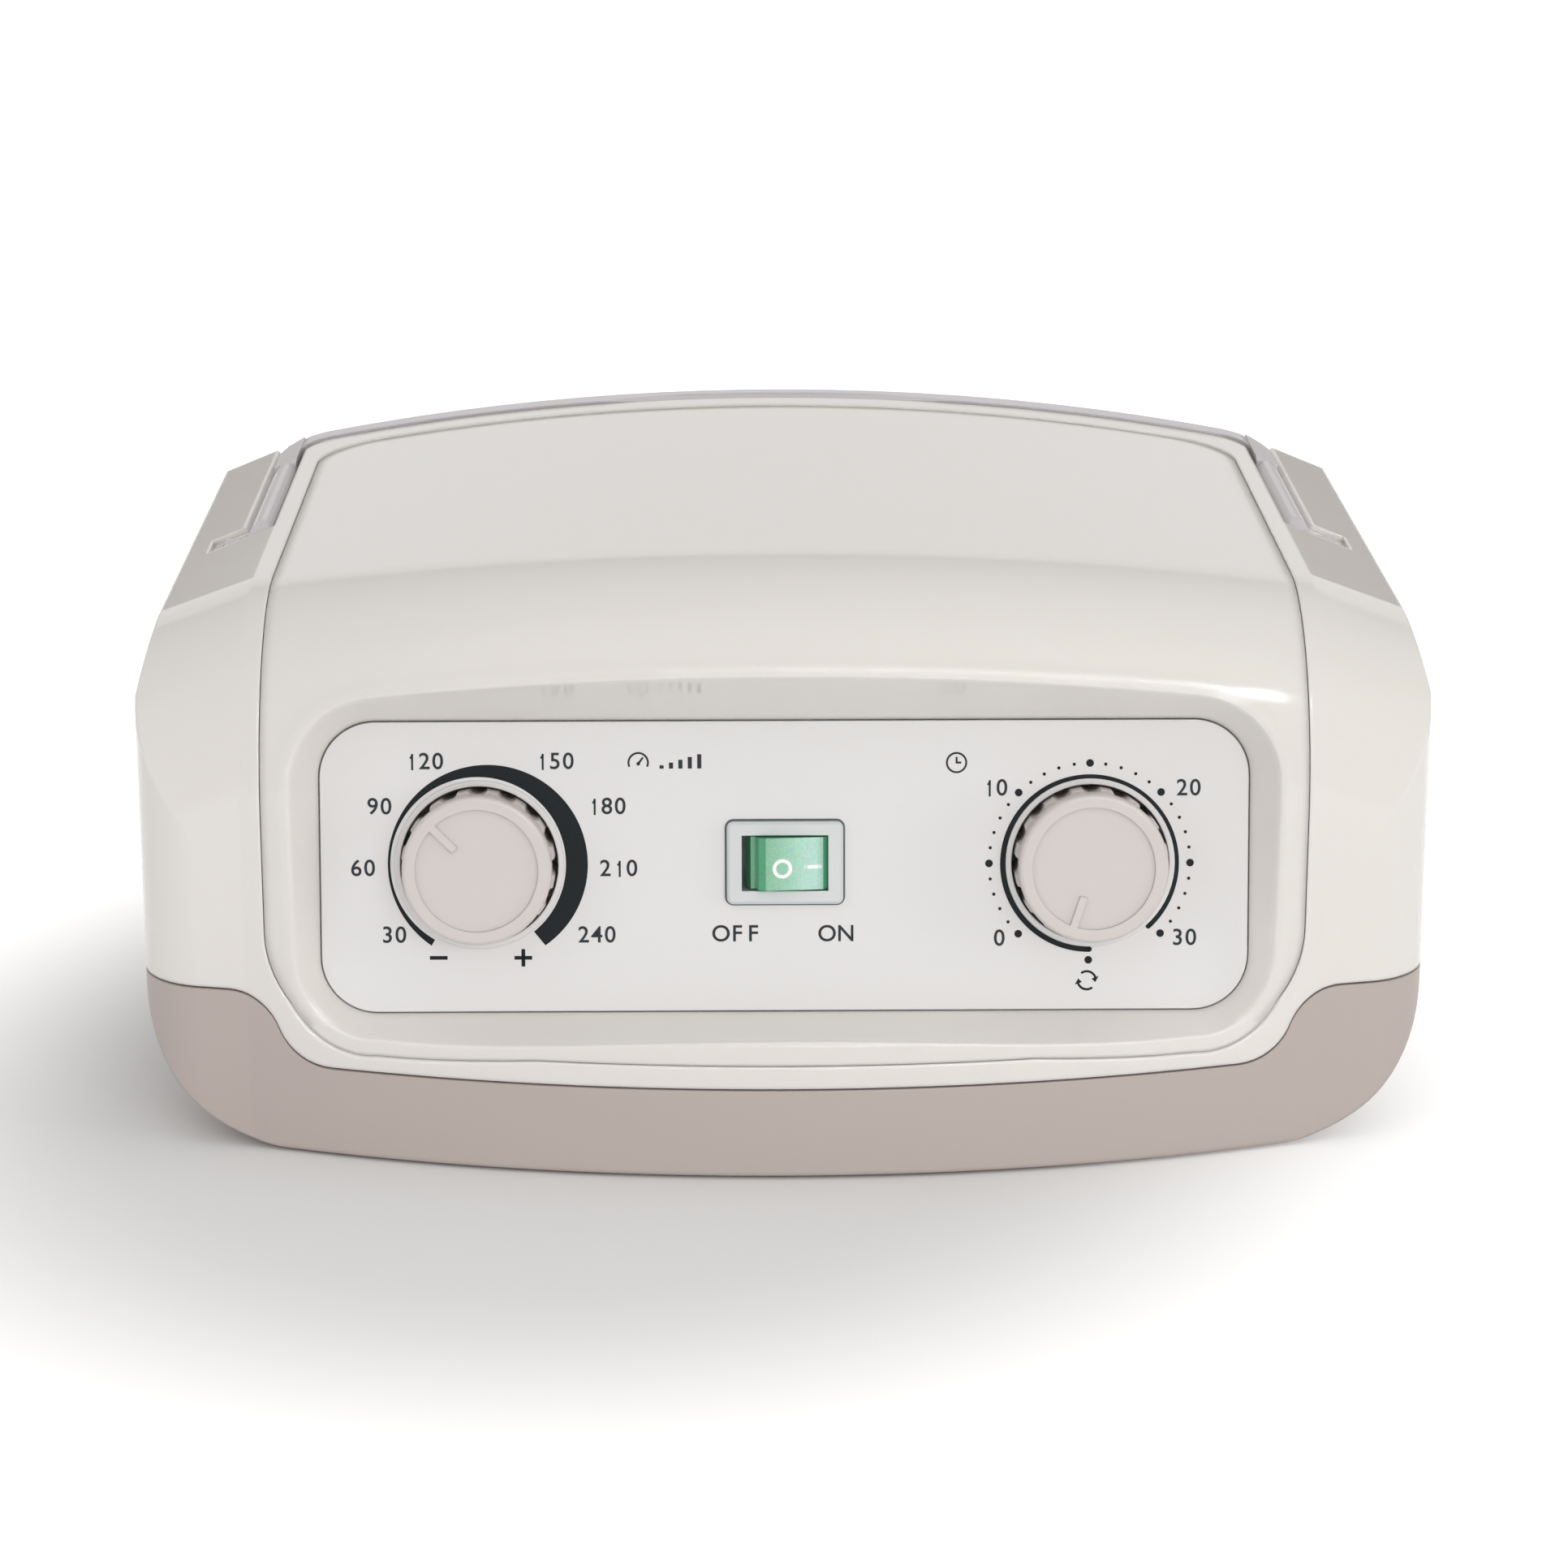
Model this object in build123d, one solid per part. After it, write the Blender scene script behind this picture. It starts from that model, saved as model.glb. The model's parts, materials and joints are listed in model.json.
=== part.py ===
from build123d import *
import os
from math import cos, radians, sin, sqrt, tan

# Compression therapy pump: a bench-top air pump with two dials, a mains rocker switch and a
# folding carry handle.  Millimetres, X to the right, Y to the rear, Z up.  The origin is on the
# table under the middle of the pump.

# ---------------------------------------------------------------- housing form
FRONT_Y = -92.5            # foremost line of the bulged front wall
REAR_Y = 80.0              # rear edge of the moulded shells
FRONT_RADIUS = 285.0       # plan radius of the front wall
CROWN_TOP = 108.0          # height of the crown on the middle line
CROWN_RADIUS = 490.0       # front-view radius of the crown
BROW_RADIUS = 36.0         # round from the front wall into the crown
CREASE_X = 97.4            # crease between the crown and the shoulders
FACET_SLOPE = 0.211        # rearward run of the front facet outboard of the crease
SHOULDER_SLOPE = 0.415     # fall of the shoulder outboard of the crease
SHOULDER_EDGE_X = 115.5
SHOULDER_EDGE_Z = 90.0
SIDE_HALF = 119.8          # widest half width of the side walls
SIDE_HALF_Z = 52.0
SIDE_HALF_Y = 5.0
CORNER_X = 116.5           # half width where the side wall meets the front facet
REAR_HALF = 117.0
CORNER_RADIUS = 14.0
BASE_Z = 0.5               # underside of the base tray
BASE_HALF = 117.3          # half width of the base at its round
BASE_CORNER_RADIUS = 29.0
FOOT_RADIUS = 1.0          # edge between the base's front wall and its underside
WALL = 3.0

# seam between the two shells, with its dip at the front
SEAM_Z = 30.6
SEAM_DIP_Z = 17.4
SEAM_DIP_OUTER_X = 101.0
SEAM_DIP_INNER_X = 82.0
SEAM_GAP = 0.4
LIP_THICK = 1.2
LIP_UP = 2.5
LIP_DOWN = 5.0

# ---------------------------------------------------------------- front fascia and panel
FASCIA_STEP = 0.5          # the fascia lies this much below the strip round it
FASCIA_THICK = 1.3
FASCIA_HALF = 93.7
FASCIA_FOOT_Z = 21.6
FASCIA_REAR_Y = 66.0
FASCIA_FOOT_RADIUS = 20.0
FASCIA_REAR_RADIUS = 12.0
FASCIA_GAP = 0.15
FASCIA_SEAT_GAP = 0.05

PANEL_Y = -70.3
PANEL_Z = 52.0
PANEL_LEAN = 10.6          # degrees that the panel leans back
PANEL_WIDTH = 167.6
PANEL_HEIGHT = 52.7
PANEL_RADIUS = 10.0
PANEL_THICK = 1.5
PANEL_GAP = 0.3
BOWL_WALL = 2.0
MOUTH_REACH = 28.0         # the flared walls run this far out of the panel plane
MOUTH_TOP = 12.0           # and there stand this far outside the edge of the panel
MOUTH_TOP_CORNER = 8.5
MOUTH_SIDE_TOP = 12.3
MOUTH_SIDE = 16.0
MOUTH_SIDE_LOW = 25.0
MOUTH_LOW_CORNER = 18.2
MOUTH_BOTTOM_END = 16.2
MOUTH_BOTTOM = 4.8

# ---------------------------------------------------------------- dials
DIAL_U = 55.2              # dial centres from the middle of the panel
DIAL_V = 0.46
WELL_RADIUS = 14.3
WELL_DEPTH = 9.0
KNOB_CLEARANCE = 0.45
KNOB_HEIGHT = 9.4
KNOB_CAP_RADIUS = 13.4
KNOB_CAP_THICK = 5.0
KNOB_DISH_RADIUS = 11.0
KNOB_DISH_DEPTH = 0.6
KNOB_FLUTES = 16
FLUTE_RADIUS = 2.2
FLUTE_DEPTH = 0.9
KNOB_LIFT = 1.0            # under the skirt, above the well floor
KNOB_HUB_RADIUS = 5.0
POINTER_WIDTH = 1.4
POINTER_INNER = 4.9
PRESSURE_ANGLE = 45.7      # pointer, anticlockwise from the top
TIMER_ANGLE = 161.0
SHAFT_RADIUS = 3.0
SHAFT_CLEARANCE = 0.05
BUSH_RADIUS = 4.5
BUSH_CLEARANCE = 0.1
NUT_ACROSS = 13.0
NUT_THICK = 2.4
RIM_WIDTH = 1.0
RIM_HEIGHT = 0.5

# ---------------------------------------------------------------- rocker switch
SWITCH_V = 0.74
BEZEL_WIDTH = 21.0
BEZEL_HEIGHT = 15.0
BEZEL_THICK = 1.8
BEZEL_RADIUS = 1.2
SWITCH_OPENING_WIDTH = 15.6
SWITCH_OPENING_HEIGHT = 10.1
SWITCH_BODY_WIDTH = 19.2
SWITCH_BODY_HEIGHT = 12.8
SWITCH_BODY_DEPTH = 20.0
SWITCH_CUT_GAP = 0.1
SWITCH_WALL = 1.0
ROCKER_TILT = 12.0         # degrees each way
ROCKER_PIVOT = 5.0         # pivot below the panel face
ROCKER_TOP = 8.1           # top face above the pivot
ROCKER_TOP_HALF = 5.3
ROCKER_SIDE_HALF = 6.4
ROCKER_SKIRT_HALF = 7.2
ROCKER_SKIRT_TOP = 4.2
ROCKER_KEEL = 3.4
ROCKER_SIDE_GAP = 0.3
ROCKER_PIN_RADIUS = 1.2
TERMINAL_WIDTH = 6.3
TERMINAL_THICK = 0.8
TERMINAL_LENGTH = 8.0

# ---------------------------------------------------------------- carry handle
ARM_INNER = 98.4
ARM_WIDTH = 4.5
ARM_CHAMFER = 1.3
ARM_DEPTH = 8.6
ARM_RISE_Y = 56.0          # the arms rise from here to meet the cross-bar
BAR_PROUD = 0.5            # the cross-bar above the crown
ARM_PROUD = 1.0            # the arms above the shoulders
HANDLE_GAP = 0.5           # outside the arms and the cross-bar
HANDLE_INNER_GAP = 0.8     # between the arms and the crown
SLOT_CHAMFER = 1.1         # on the shoulder, along the outer edge of each slot
PIVOT_Y = 7.8
PIVOT_Z = 91.9
PIVOT_BOSS_RADIUS = 6.0
PIVOT_PIN_RADIUS = 2.0
PIVOT_PIN_LENGTH = 5.0
PIVOT_CLEARANCE = 0.06
BAR_INNER_REACH = 66.8     # inner and outer faces of the cross-bar, from the pivot axis
BAR_OUTER_REACH = 72.0
BAR_CORNER_RADIUS = 12.0
GROOVE_WALL = 2.0
PIN_BLOCK_LENGTH = 7.0
PIN_BLOCK_HALF = 4.4
PIN_POCKET_LENGTH = 7.6    # shallow pocket in the shoulder over each pin
PIN_POCKET_WIDTH = 10.0
PIN_POCKET_DEPTH = 1.2
PIN_SNAP_HALF = 1.7

# ---------------------------------------------------------------- rear panel and its fittings
REAR_PANEL_THICK = 3.0
REAR_PANEL_SETBACK = 0.5
REAR_PANEL_GAP = 0.2
REAR_RIB_WIDTH = 2.3
REAR_RIB_HEIGHT = 2.5
VENT_COUNT = 11
VENT_PITCH = 5.0
VENT_WIDTH = 2.6
VENT_HEIGHT = 26.0
VENT_X = -22.0
VENT_Z = 74.0

PORT_PITCH = 9.5
PORTS_PER_SOCKET = 4
PORT_Z = 45.0
SOCKET_X = (23.5, 64.5)
SOCKET_WIDTH = 40.0
SOCKET_HEIGHT = 20.0
SOCKET_FLANGE = 3.0
SOCKET_BODY_WIDTH = 36.0
SOCKET_BODY_HEIGHT = 13.0
NOZZLE_RADIUS = 3.5
NOZZLE_LENGTH = 10.0
AIR_BORE = 2.0
STUB_RADIUS = 3.0
STUB_LENGTH = 6.0
TUBE_WALL = 1.0
TUBE_CREST = 12.5          # the long tubes rise this far above the compressor heads

INLET_X = -66.0
INLET_Z = 40.0
INLET_FLANGE_WIDTH = 32.0
INLET_FLANGE_HEIGHT = 16.0
INLET_FLANGE = 3.0
INLET_BODY_WIDTH = 19.0
INLET_BODY_HEIGHT = 12.0
INLET_BODY_DEPTH = 15.0
INLET_SOCKET_WIDTH = 15.6
INLET_SOCKET_HEIGHT = 8.0
INLET_SOCKET_DEPTH = 13.0
INLET_PIN_PITCH = 8.6
INLET_PIN_RADIUS = 1.2
INLET_PIN_LENGTH = 10.0
INLET_SCREW_PITCH = 25.0

FUSE_X = -36.0
FUSE_Z = 40.0
FUSE_BARREL_RADIUS = 6.2
FUSE_BARREL_DEPTH = 27.0
FUSE_FLANGE_RADIUS = 8.5
FUSE_FLANGE = 3.0
FUSE_BORE = 4.6
FUSE_CAP_RADIUS = 6.0
FUSE_CAP_HEIGHT = 4.0
FUSE_RADIUS = 2.5
FUSE_LENGTH = 20.0
FUSE_HOLDER_END = 3.0
FUSE_CLEARANCE = 0.08

# ---------------------------------------------------------------- feet and case screws
POST_X = 88.0
POST_FRONT_Y = -46.0
POST_REAR_Y = 60.0
POST_RADIUS = 4.5
POST_JOINT_Z = 22.0
POST_GAP = 0.3
SCREW_RADIUS = 1.6
SCREW_HEAD_RADIUS = 3.2
SCREW_HEAD_THICK = 2.2
SCREW_SEAT_Z = 9.0
SCREW_LENGTH = 26.0
SCREW_CLEARANCE = 0.2
FOOT_X = 76.0
FOOT_FRONT_Y = -58.0
FOOT_REAR_Y = 62.0
RUBBER_FOOT_RADIUS = 8.0
FOOT_POCKET = 1.5

# ---------------------------------------------------------------- compressor
COMPRESSOR_X = -52.0
COMPRESSOR_Y = 22.0
AXIS_Z = 43.0
MOUNT_HEIGHT = 10.0
MOUNT_RADIUS = 6.0
MOUNT_WAIST = 4.4
MOUNT_INSET = 6.0          # from the ends of the bed plate to the mounts
FRAME_LENGTH = 84.0
FRAME_WIDTH = 56.0
FRAME_PLATE = 4.0
END_PLATE_X = 34.0
END_PLATE = 5.0
END_PLATE_TOP = 66.0
DIAPHRAGM_RADIUS = 22.0
DIAPHRAGM_THICK = 2.0
CHAMBER_RADIUS = 18.0
HEAD_THICK = 14.0
HEAD_WIDTH = 50.0
CHAMBER_DEPTH = 9.0
CORE_BACK = 6.0
CORE_POLE = 14.0
CORE_INNER_Y = 7.0
CORE_HALF_HEIGHT = 14.0
CORE_HALF = 26.0
POLE_HALF = 5.0
SIDE_POLE_WIDTH = 7.0
COIL_HALF = 14.5
COIL_OVERHANG = 5.0
COIL_GAP = 0.2
ARMATURE_HALF = 24.0
ARMATURE_THICK = 12.0
ARMATURE_HALF_HEIGHT = 10.0
ARMATURE_SHAFT = 4.0
ARMATURE_REACH = 46.0
ARMATURE_NUT_RADIUS = 8.0
ARMATURE_NUT = 2.5

# ---------------------------------------------------------------- air distributor
VALVE_X = 44.0
VALVE_RADIUS = 25.0
VALVE_FRONT_Y = 16.0
VALVE_DEPTH = 18.0
VALVE_WALL = 3.0
ROTOR_RADIUS = 21.5
ROTOR_THICK = 7.0
ROTOR_GAP = 0.3
ROTOR_SHAFT = 3.0
MOTOR_RADIUS = 22.0
MOTOR_DEPTH = 16.0
MANIFOLD_DEPTH = 14.0
MANIFOLD_WIDTH = 78.0
MANIFOLD_HEIGHT = 16.0
MANIFOLD_LEG = 8.0

# ---------------------------------------------------------------- regulator, timer, board
REGULATOR_RADIUS = 17.0
REGULATOR_DEPTH = 26.0
REGULATOR_CAP_RADIUS = 10.0
REGULATOR_CAP = 5.0
TIMER_WIDTH = 38.0
TIMER_HEIGHT = 34.0
TIMER_DEPTH = 24.0
CONTROL_SHAFT_DEPTH = 12.0

BOARD_X = 46.0
BOARD_Y = -30.0
BOARD_Z = 11.0
BOARD_WIDTH = 62.0
BOARD_DEPTH = 38.0
BOARD_THICK = 1.6
BOARD_POST_RADIUS = 3.0
BOARD_POST_INSET = 4.5
CAPACITOR_RADIUS = 3.5
CAPACITOR_HEIGHT = 9.0
CAPACITORS = 3
RELAY_SIZE = (16.0, 11.0, 9.0)
TERMINAL_BLOCK_SIZE = (22.0, 8.0, 9.0)

# ---------------------------------------------------------------- working room for cutting bodies
FAR = 135.0                # beyond the pump in X and Y
ABOVE = 135.0              # above the pump

# ---------------------------------------------------------------- derived places
PANEL = Plane(
    origin=(0, PANEL_Y, PANEL_Z),
    x_dir=(1, 0, 0),
    z_dir=(0, -cos(radians(PANEL_LEAN)), sin(radians(PANEL_LEAN))),
)
ARM_OUTER = ARM_INNER + ARM_WIDTH
FASCIA_INSET = FASCIA_STEP + FASCIA_THICK
BOWL_FLOOR = PANEL_THICK + BOWL_WALL
WELL_FLOOR = WELL_DEPTH + BOWL_WALL
FLOOR_Z = BASE_Z + WALL
GROOVE_DEPTH = ARM_DEPTH + HANDLE_GAP
ARM_TOP = PIVOT_Z + PIVOT_BOSS_RADIUS
SLOT_OUTER = ARM_OUTER + HANDLE_GAP
SLOT_INNER = ARM_INNER - HANDLE_INNER_GAP
REAR_PANEL_REAR = REAR_Y - REAR_PANEL_SETBACK
REAR_PANEL_FRONT = REAR_PANEL_REAR - REAR_PANEL_THICK
VALVE_REAR_Y = VALVE_FRONT_Y + VALVE_DEPTH
MANIFOLD_REAR_Y = VALVE_REAR_Y + MANIFOLD_DEPTH
FRAME_Z = FLOOR_Z + MOUNT_HEIGHT
MOUNT_X = FRAME_LENGTH / 2 - MOUNT_RADIUS - MOUNT_INSET
MOUNT_Y = FRAME_WIDTH / 2 - MOUNT_RADIUS
SOCKET_PORTS = [
    (i - (PORTS_PER_SOCKET - 1) / 2) * PORT_PITCH for i in range(PORTS_PER_SOCKET)
]

# ================================================================ form of the housing


def front_y(x):
    """Front wall of the crowned middle, on its plan radius."""
    return FRONT_Y + FRONT_RADIUS - sqrt(FRONT_RADIUS**2 - x**2)


def crown_z(x):
    """Height of the crown, on its front-view radius."""
    return CROWN_TOP - CROWN_RADIUS + sqrt(CROWN_RADIUS**2 - x**2)


def facet_y(x):
    """Front facet outboard of the crease."""
    return front_y(CREASE_X) + FACET_SLOPE * (x - CREASE_X)


def shoulder_z(x):
    """Shoulder outboard of the crease."""
    return crown_z(CREASE_X) - SHOULDER_SLOPE * (x - CREASE_X)


def side_section(x, inset, rear):
    """Side-view outline at the place x: floor, foot round, front wall, brow, top and rear."""
    reach = abs(x)
    crowned = reach <= CREASE_X
    front = (front_y(reach) if crowned else facet_y(reach)) + inset
    top = (crown_z(reach) if crowned else shoulder_z(reach)) - inset
    floor = BASE_Z + inset
    brow = BROW_RADIUS - inset
    bend = 1 - sin(radians(45))
    foot_start = Vector(x, front + FOOT_RADIUS, floor)
    foot_middle = Vector(x, front + FOOT_RADIUS * bend, floor + FOOT_RADIUS * bend)
    foot_end = Vector(x, front, floor + FOOT_RADIUS)
    brow_start = Vector(x, front, top - brow)
    brow_middle = Vector(x, front + brow * bend, top - brow * bend)
    brow_end = Vector(x, front + brow, top)
    rear_top = Vector(x, rear, top)
    rear_floor = Vector(x, rear, floor)
    return Wire(
        [
            Edge.make_line(rear_floor, foot_start),
            Edge.make_three_point_arc(foot_start, foot_middle, foot_end),
            Edge.make_line(foot_end, brow_start),
            Edge.make_three_point_arc(brow_start, brow_middle, brow_end),
            Edge.make_line(brow_end, rear_top),
            Edge.make_line(rear_top, rear_floor),
        ]
    )


def plan_prism(inset):
    """Side walls and front corners, seen from above."""
    corner = Vector(CORNER_X - inset, facet_y(CORNER_X) + inset - 0.02)
    notch = Vector(CREASE_X + 2, facet_y(CREASE_X + 2) + inset - 0.02)
    widest = Vector(SIDE_HALF - inset, SIDE_HALF_Y)
    rear = Vector(REAR_HALF - inset, REAR_Y)
    beyond = Vector(REAR_HALF - inset, FAR)
    outline = [
        Edge.make_line((0, -FAR), (notch.X, -FAR)),
        Edge.make_line((notch.X, -FAR), notch),
        Edge.make_line(notch, corner),
        Edge.make_three_point_arc(corner, widest, rear),
        Edge.make_line(rear, beyond),
        Edge.make_line(beyond, (0, FAR)),
        Edge.make_line((0, FAR), (0, -FAR)),
    ]
    half = Face(Wire(outline))
    round_vertex = half.vertices().sort_by_distance(corner)[0]
    half = half.fillet_2d(CORNER_RADIUS - inset, [round_vertex])
    right = extrude(half, amount=ABOVE, dir=(0, 0, 1))
    return right + right.mirror(Plane.YZ)


def side_prism(inset):
    """Side walls, base rounds and underside, seen from the front."""
    round_x = BASE_HALF - BASE_CORNER_RADIUS
    round_z = BASE_Z + BASE_CORNER_RADIUS
    radius = BASE_CORNER_RADIUS - inset
    bend = sin(radians(45))
    low = Vector(round_x, -FAR, BASE_Z + inset)
    middle = Vector(round_x + radius * bend, -FAR, round_z - radius * bend)
    high = Vector(BASE_HALF - inset, -FAR, round_z)
    widest = Vector(SIDE_HALF - inset, -FAR, SIDE_HALF_Z)
    edge = Vector(SHOULDER_EDGE_X - inset, -FAR, SHOULDER_EDGE_Z)
    lean = (SIDE_HALF - SHOULDER_EDGE_X) / (SHOULDER_EDGE_Z - SIDE_HALF_Z) * 2
    above = Vector(edge.X - lean * (ABOVE - edge.Z), -FAR, ABOVE)
    outline = [
        Edge.make_line((0, -FAR, BASE_Z + inset), low),
        Edge.make_three_point_arc(low, middle, high),
        Edge.make_three_point_arc(high, widest, edge),
        Edge.make_line(edge, above),
        Edge.make_line(above, (0, -FAR, ABOVE)),
        Edge.make_line((0, -FAR, ABOVE), (0, -FAR, BASE_Z + inset)),
    ]
    right = extrude(Face(Wire(outline)), amount=2 * FAR, dir=(0, 1, 0))
    return right + right.mirror(Plane.YZ)


def form(inset, through_rear=False):
    """The whole housing as one block, or the block that lies inset millimetres inside it."""
    rear = FAR - 5 if through_rear else REAR_Y - inset
    stations = [CREASE_X * k / 3 for k in range(-3, 4)]
    middle = Solid.make_loft([side_section(x, inset, rear) for x in stations])
    side_stations = (CREASE_X, SIDE_HALF + 8)
    right = Solid.make_loft([side_section(x, inset, rear) for x in side_stations], ruled=True)
    block = middle + right + right.mirror(Plane.YZ)
    return block & plan_prism(inset) & side_prism(inset)


def under_crown(inset):
    """Everything below the crown and shoulders, lowered by the inset."""
    top = Vector(0, -FAR, CROWN_TOP - inset)
    shoulder_x = CREASE_X / 2
    middle = Vector(shoulder_x, -FAR, crown_z(shoulder_x) - inset)
    crease = Vector(CREASE_X, -FAR, crown_z(CREASE_X) - inset)
    outboard = Vector(FAR, -FAR, shoulder_z(FAR) - inset)
    outline = [
        Edge.make_three_point_arc(top, middle, crease),
        Edge.make_line(crease, outboard),
        Edge.make_line(outboard, (FAR, -FAR, -1)),
        Edge.make_line((FAR, -FAR, -1), (0, -FAR, -1)),
        Edge.make_line((0, -FAR, -1), top),
    ]
    right = extrude(Face(Wire(outline)), amount=2 * FAR, dir=(0, 1, 0))
    return right + right.mirror(Plane.YZ)


def box(x0, x1, y0, y1, z0, z1):
    """Block between two corners."""
    return Pos((x0 + x1) / 2, (y0 + y1) / 2, (z0 + z1) / 2) * Box(x1 - x0, y1 - y0, z1 - z0)


def above_seam(shift):
    """Everything above the seam line, with its S-shaped dip at the front."""
    high = SEAM_Z + shift
    low = SEAM_DIP_Z + shift
    middle_x = (SEAM_DIP_OUTER_X + SEAM_DIP_INNER_X) / 2
    middle_z = (high + low) / 2
    run = (SEAM_DIP_OUTER_X - SEAM_DIP_INNER_X) / 2
    outline = [
        Edge.make_line((0, -FAR, low), (SEAM_DIP_INNER_X, -FAR, low)),
        Edge.make_tangent_arc((SEAM_DIP_INNER_X, -FAR, low), (1, 0, 0), (middle_x, -FAR, middle_z)),
        Edge.make_tangent_arc(
            (SEAM_DIP_OUTER_X, -FAR, high), (-1, 0, 0), (middle_x, -FAR, middle_z)
        ),
        Edge.make_line((SEAM_DIP_OUTER_X, -FAR, high), (FAR, -FAR, high)),
        Edge.make_line((FAR, -FAR, high), (FAR, -FAR, ABOVE)),
        Edge.make_line((FAR, -FAR, ABOVE), (0, -FAR, ABOVE)),
        Edge.make_line((0, -FAR, ABOVE), (0, -FAR, low)),
    ]
    right = extrude(Face(Wire(outline)), amount=2 * FAR, dir=(0, 1, 0))
    return right + right.mirror(Plane.YZ)


# ================================================================ shapes shared by several pieces


def on_panel(shape):
    """Move a shape from the panel's own frame (across, up, out) to its place."""
    return PANEL.location * shape


def disc(radius, n0, n1, u=0.0, v=0.0):
    """Round block standing on the panel, between two distances from its face."""
    return Pos(u, v, n0) * Cylinder(radius, n1 - n0, align=(Align.CENTER, Align.CENTER, Align.MIN))


def rod_x(radius, x0, x1, y, z):
    """Round bar along X."""
    bar = Cylinder(radius, x1 - x0, align=(Align.CENTER, Align.CENTER, Align.MIN))
    return Pos(x0, y, z) * Rot(0, 90, 0) * bar


def rod_y(radius, y0, y1, x, z):
    """Round bar along Y."""
    bar = Cylinder(radius, y1 - y0, align=(Align.CENTER, Align.CENTER, Align.MIN))
    return Pos(x, y0, z) * Rot(-90, 0, 0) * bar


def rod_z(radius, z0, z1, x, y):
    """Round bar along Z."""
    return Pos(x, y, z0) * Cylinder(radius, z1 - z0, align=(Align.CENTER, Align.CENTER, Align.MIN))


def group(solids):
    """Separate like solids that share one node."""
    return Compound(children=[Compound([s for item in solids for s in item.solids()])])


def recess(grow):
    """Space in front of the panel: upright rim, then walls flared to an even width in front."""
    half_u = PANEL_WIDTH / 2 + PANEL_GAP + grow
    half_v = PANEL_HEIGHT / 2 + PANEL_GAP + grow
    radius = PANEL_RADIUS + PANEL_GAP + grow
    flat_u, flat_v = half_u - radius, half_v - radius
    bend_u, bend_v = flat_u + radius * sin(radians(45)), flat_v + radius * sin(radians(45))
    foot = RectangleRounded(2 * half_u, 2 * half_v, radius)
    rim = extrude(foot, -PANEL_THICK, dir=(0, 0, 1))

    def outline(reach, top, top_corner, side_top, side, side_low, low_corner, bottom_end, bottom):
        right = [
            ((flat_u, half_v + top), (bend_u + top_corner, bend_v + top_corner), (half_u + side_top, flat_v)),
            ((half_u + side_top, flat_v), (half_u + side, 0), (half_u + side_low, -flat_v)),
            (
                (half_u + side_low, -flat_v), (bend_u + low_corner, -bend_v - low_corner),
                (flat_u, -half_v - bottom_end),
            ),
        ]
        low = (flat_u, -half_v - bottom_end), (0, -half_v - bottom), (-flat_u, -half_v - bottom_end)
        left = [tuple((-u, v) for u, v in reversed(span)) for span in reversed(right)]
        edges = [Edge.make_line((-flat_u, half_v + top, reach), (flat_u, half_v + top, reach))]
        for start, middle, end in right + [low] + left:
            points = [Vector(u, v, reach) for u, v in (start, middle, end)]
            straight = abs((points[1] - points[0]).cross(points[2] - points[0]).Z) < 1e-6
            edges.append(
                Edge.make_line(points[0], points[2]) if straight
                else Edge.make_three_point_arc(*points)
            )
        return Wire(edges)

    mouth = outline(
        MOUTH_REACH, MOUTH_TOP, MOUTH_TOP_CORNER, MOUTH_SIDE_TOP, MOUTH_SIDE, MOUTH_SIDE_LOW,
        MOUTH_LOW_CORNER, MOUTH_BOTTOM_END, MOUTH_BOTTOM,
    )
    flare = Solid.make_loft([outline(0, 0, 0, 0, 0, 0, 0, 0, 0), mouth], ruled=True)
    return on_panel(Pos(0, 0, -grow) * (rim + flare))


def fascia_region(grow):
    """The wrap-over field of the fascia: round lower corners in front, round rear corners on top."""
    half = FASCIA_HALF + grow
    front = Rectangle(2 * half, ABOVE - FASCIA_FOOT_Z + grow)
    front = fillet(front.vertices().group_by(Axis.Y)[0], FASCIA_FOOT_RADIUS + grow)
    front_z = (ABOVE + FASCIA_FOOT_Z - grow) / 2
    front = Pos(0, FAR, front_z) * Rot(90, 0, 0) * extrude(front, 2 * FAR)
    plan = Rectangle(2 * half, FASCIA_REAR_Y + grow + FAR)
    plan = fillet(plan.vertices().group_by(Axis.Y)[-1], FASCIA_REAR_RADIUS + grow)
    plan = Pos(0, (FASCIA_REAR_Y + grow - FAR) / 2, 0) * extrude(plan, ABOVE)
    return front & plan


def bail_plan(grow, rear):
    """Outer plan of the carry handle, from the pivots to its rear face."""
    half = ARM_OUTER + grow
    field = Rectangle(2 * half, rear - PIVOT_Y)
    field = fillet(field.vertices().group_by(Axis.Y)[-1], BAR_CORNER_RADIUS + grow)
    return Pos(0, (rear + PIVOT_Y) / 2, 0) * extrude(field, ABOVE)


def bail_inside(shrink, bar_shrink):
    """Space between the arms, closed at the rear by the swept face of the cross-bar."""
    half = ARM_INNER - shrink
    rear = PIVOT_Y + BAR_INNER_REACH - bar_shrink
    field = Rectangle(2 * half, rear + FAR)
    corner = BAR_CORNER_RADIUS - ARM_WIDTH
    field = fillet(field.vertices().group_by(Axis.Y)[-1], corner)
    block = Pos(0, (rear - FAR) / 2, 0) * extrude(field, ABOVE)
    swept = rod_x(BAR_INNER_REACH - bar_shrink, -FAR, FAR, PIVOT_Y, PIVOT_Z)
    in_front = box(-FAR, FAR, -FAR, PIVOT_Y + BAR_INNER_REACH / 2, 0, ABOVE)
    return block & (swept + in_front)


def tube_path(points, bend):
    """Straight runs joined by round bends."""
    return FilletPolyline(*points, radius=bend)


def hose(points, bend, outer, inner):
    """Flexible tube along a path."""
    path = tube_path(points, bend)
    ring = Plane(origin=path @ 0, z_dir=path % 0) * (Circle(outer) - Circle(inner))
    return sweep(ring, path=path)


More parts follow.
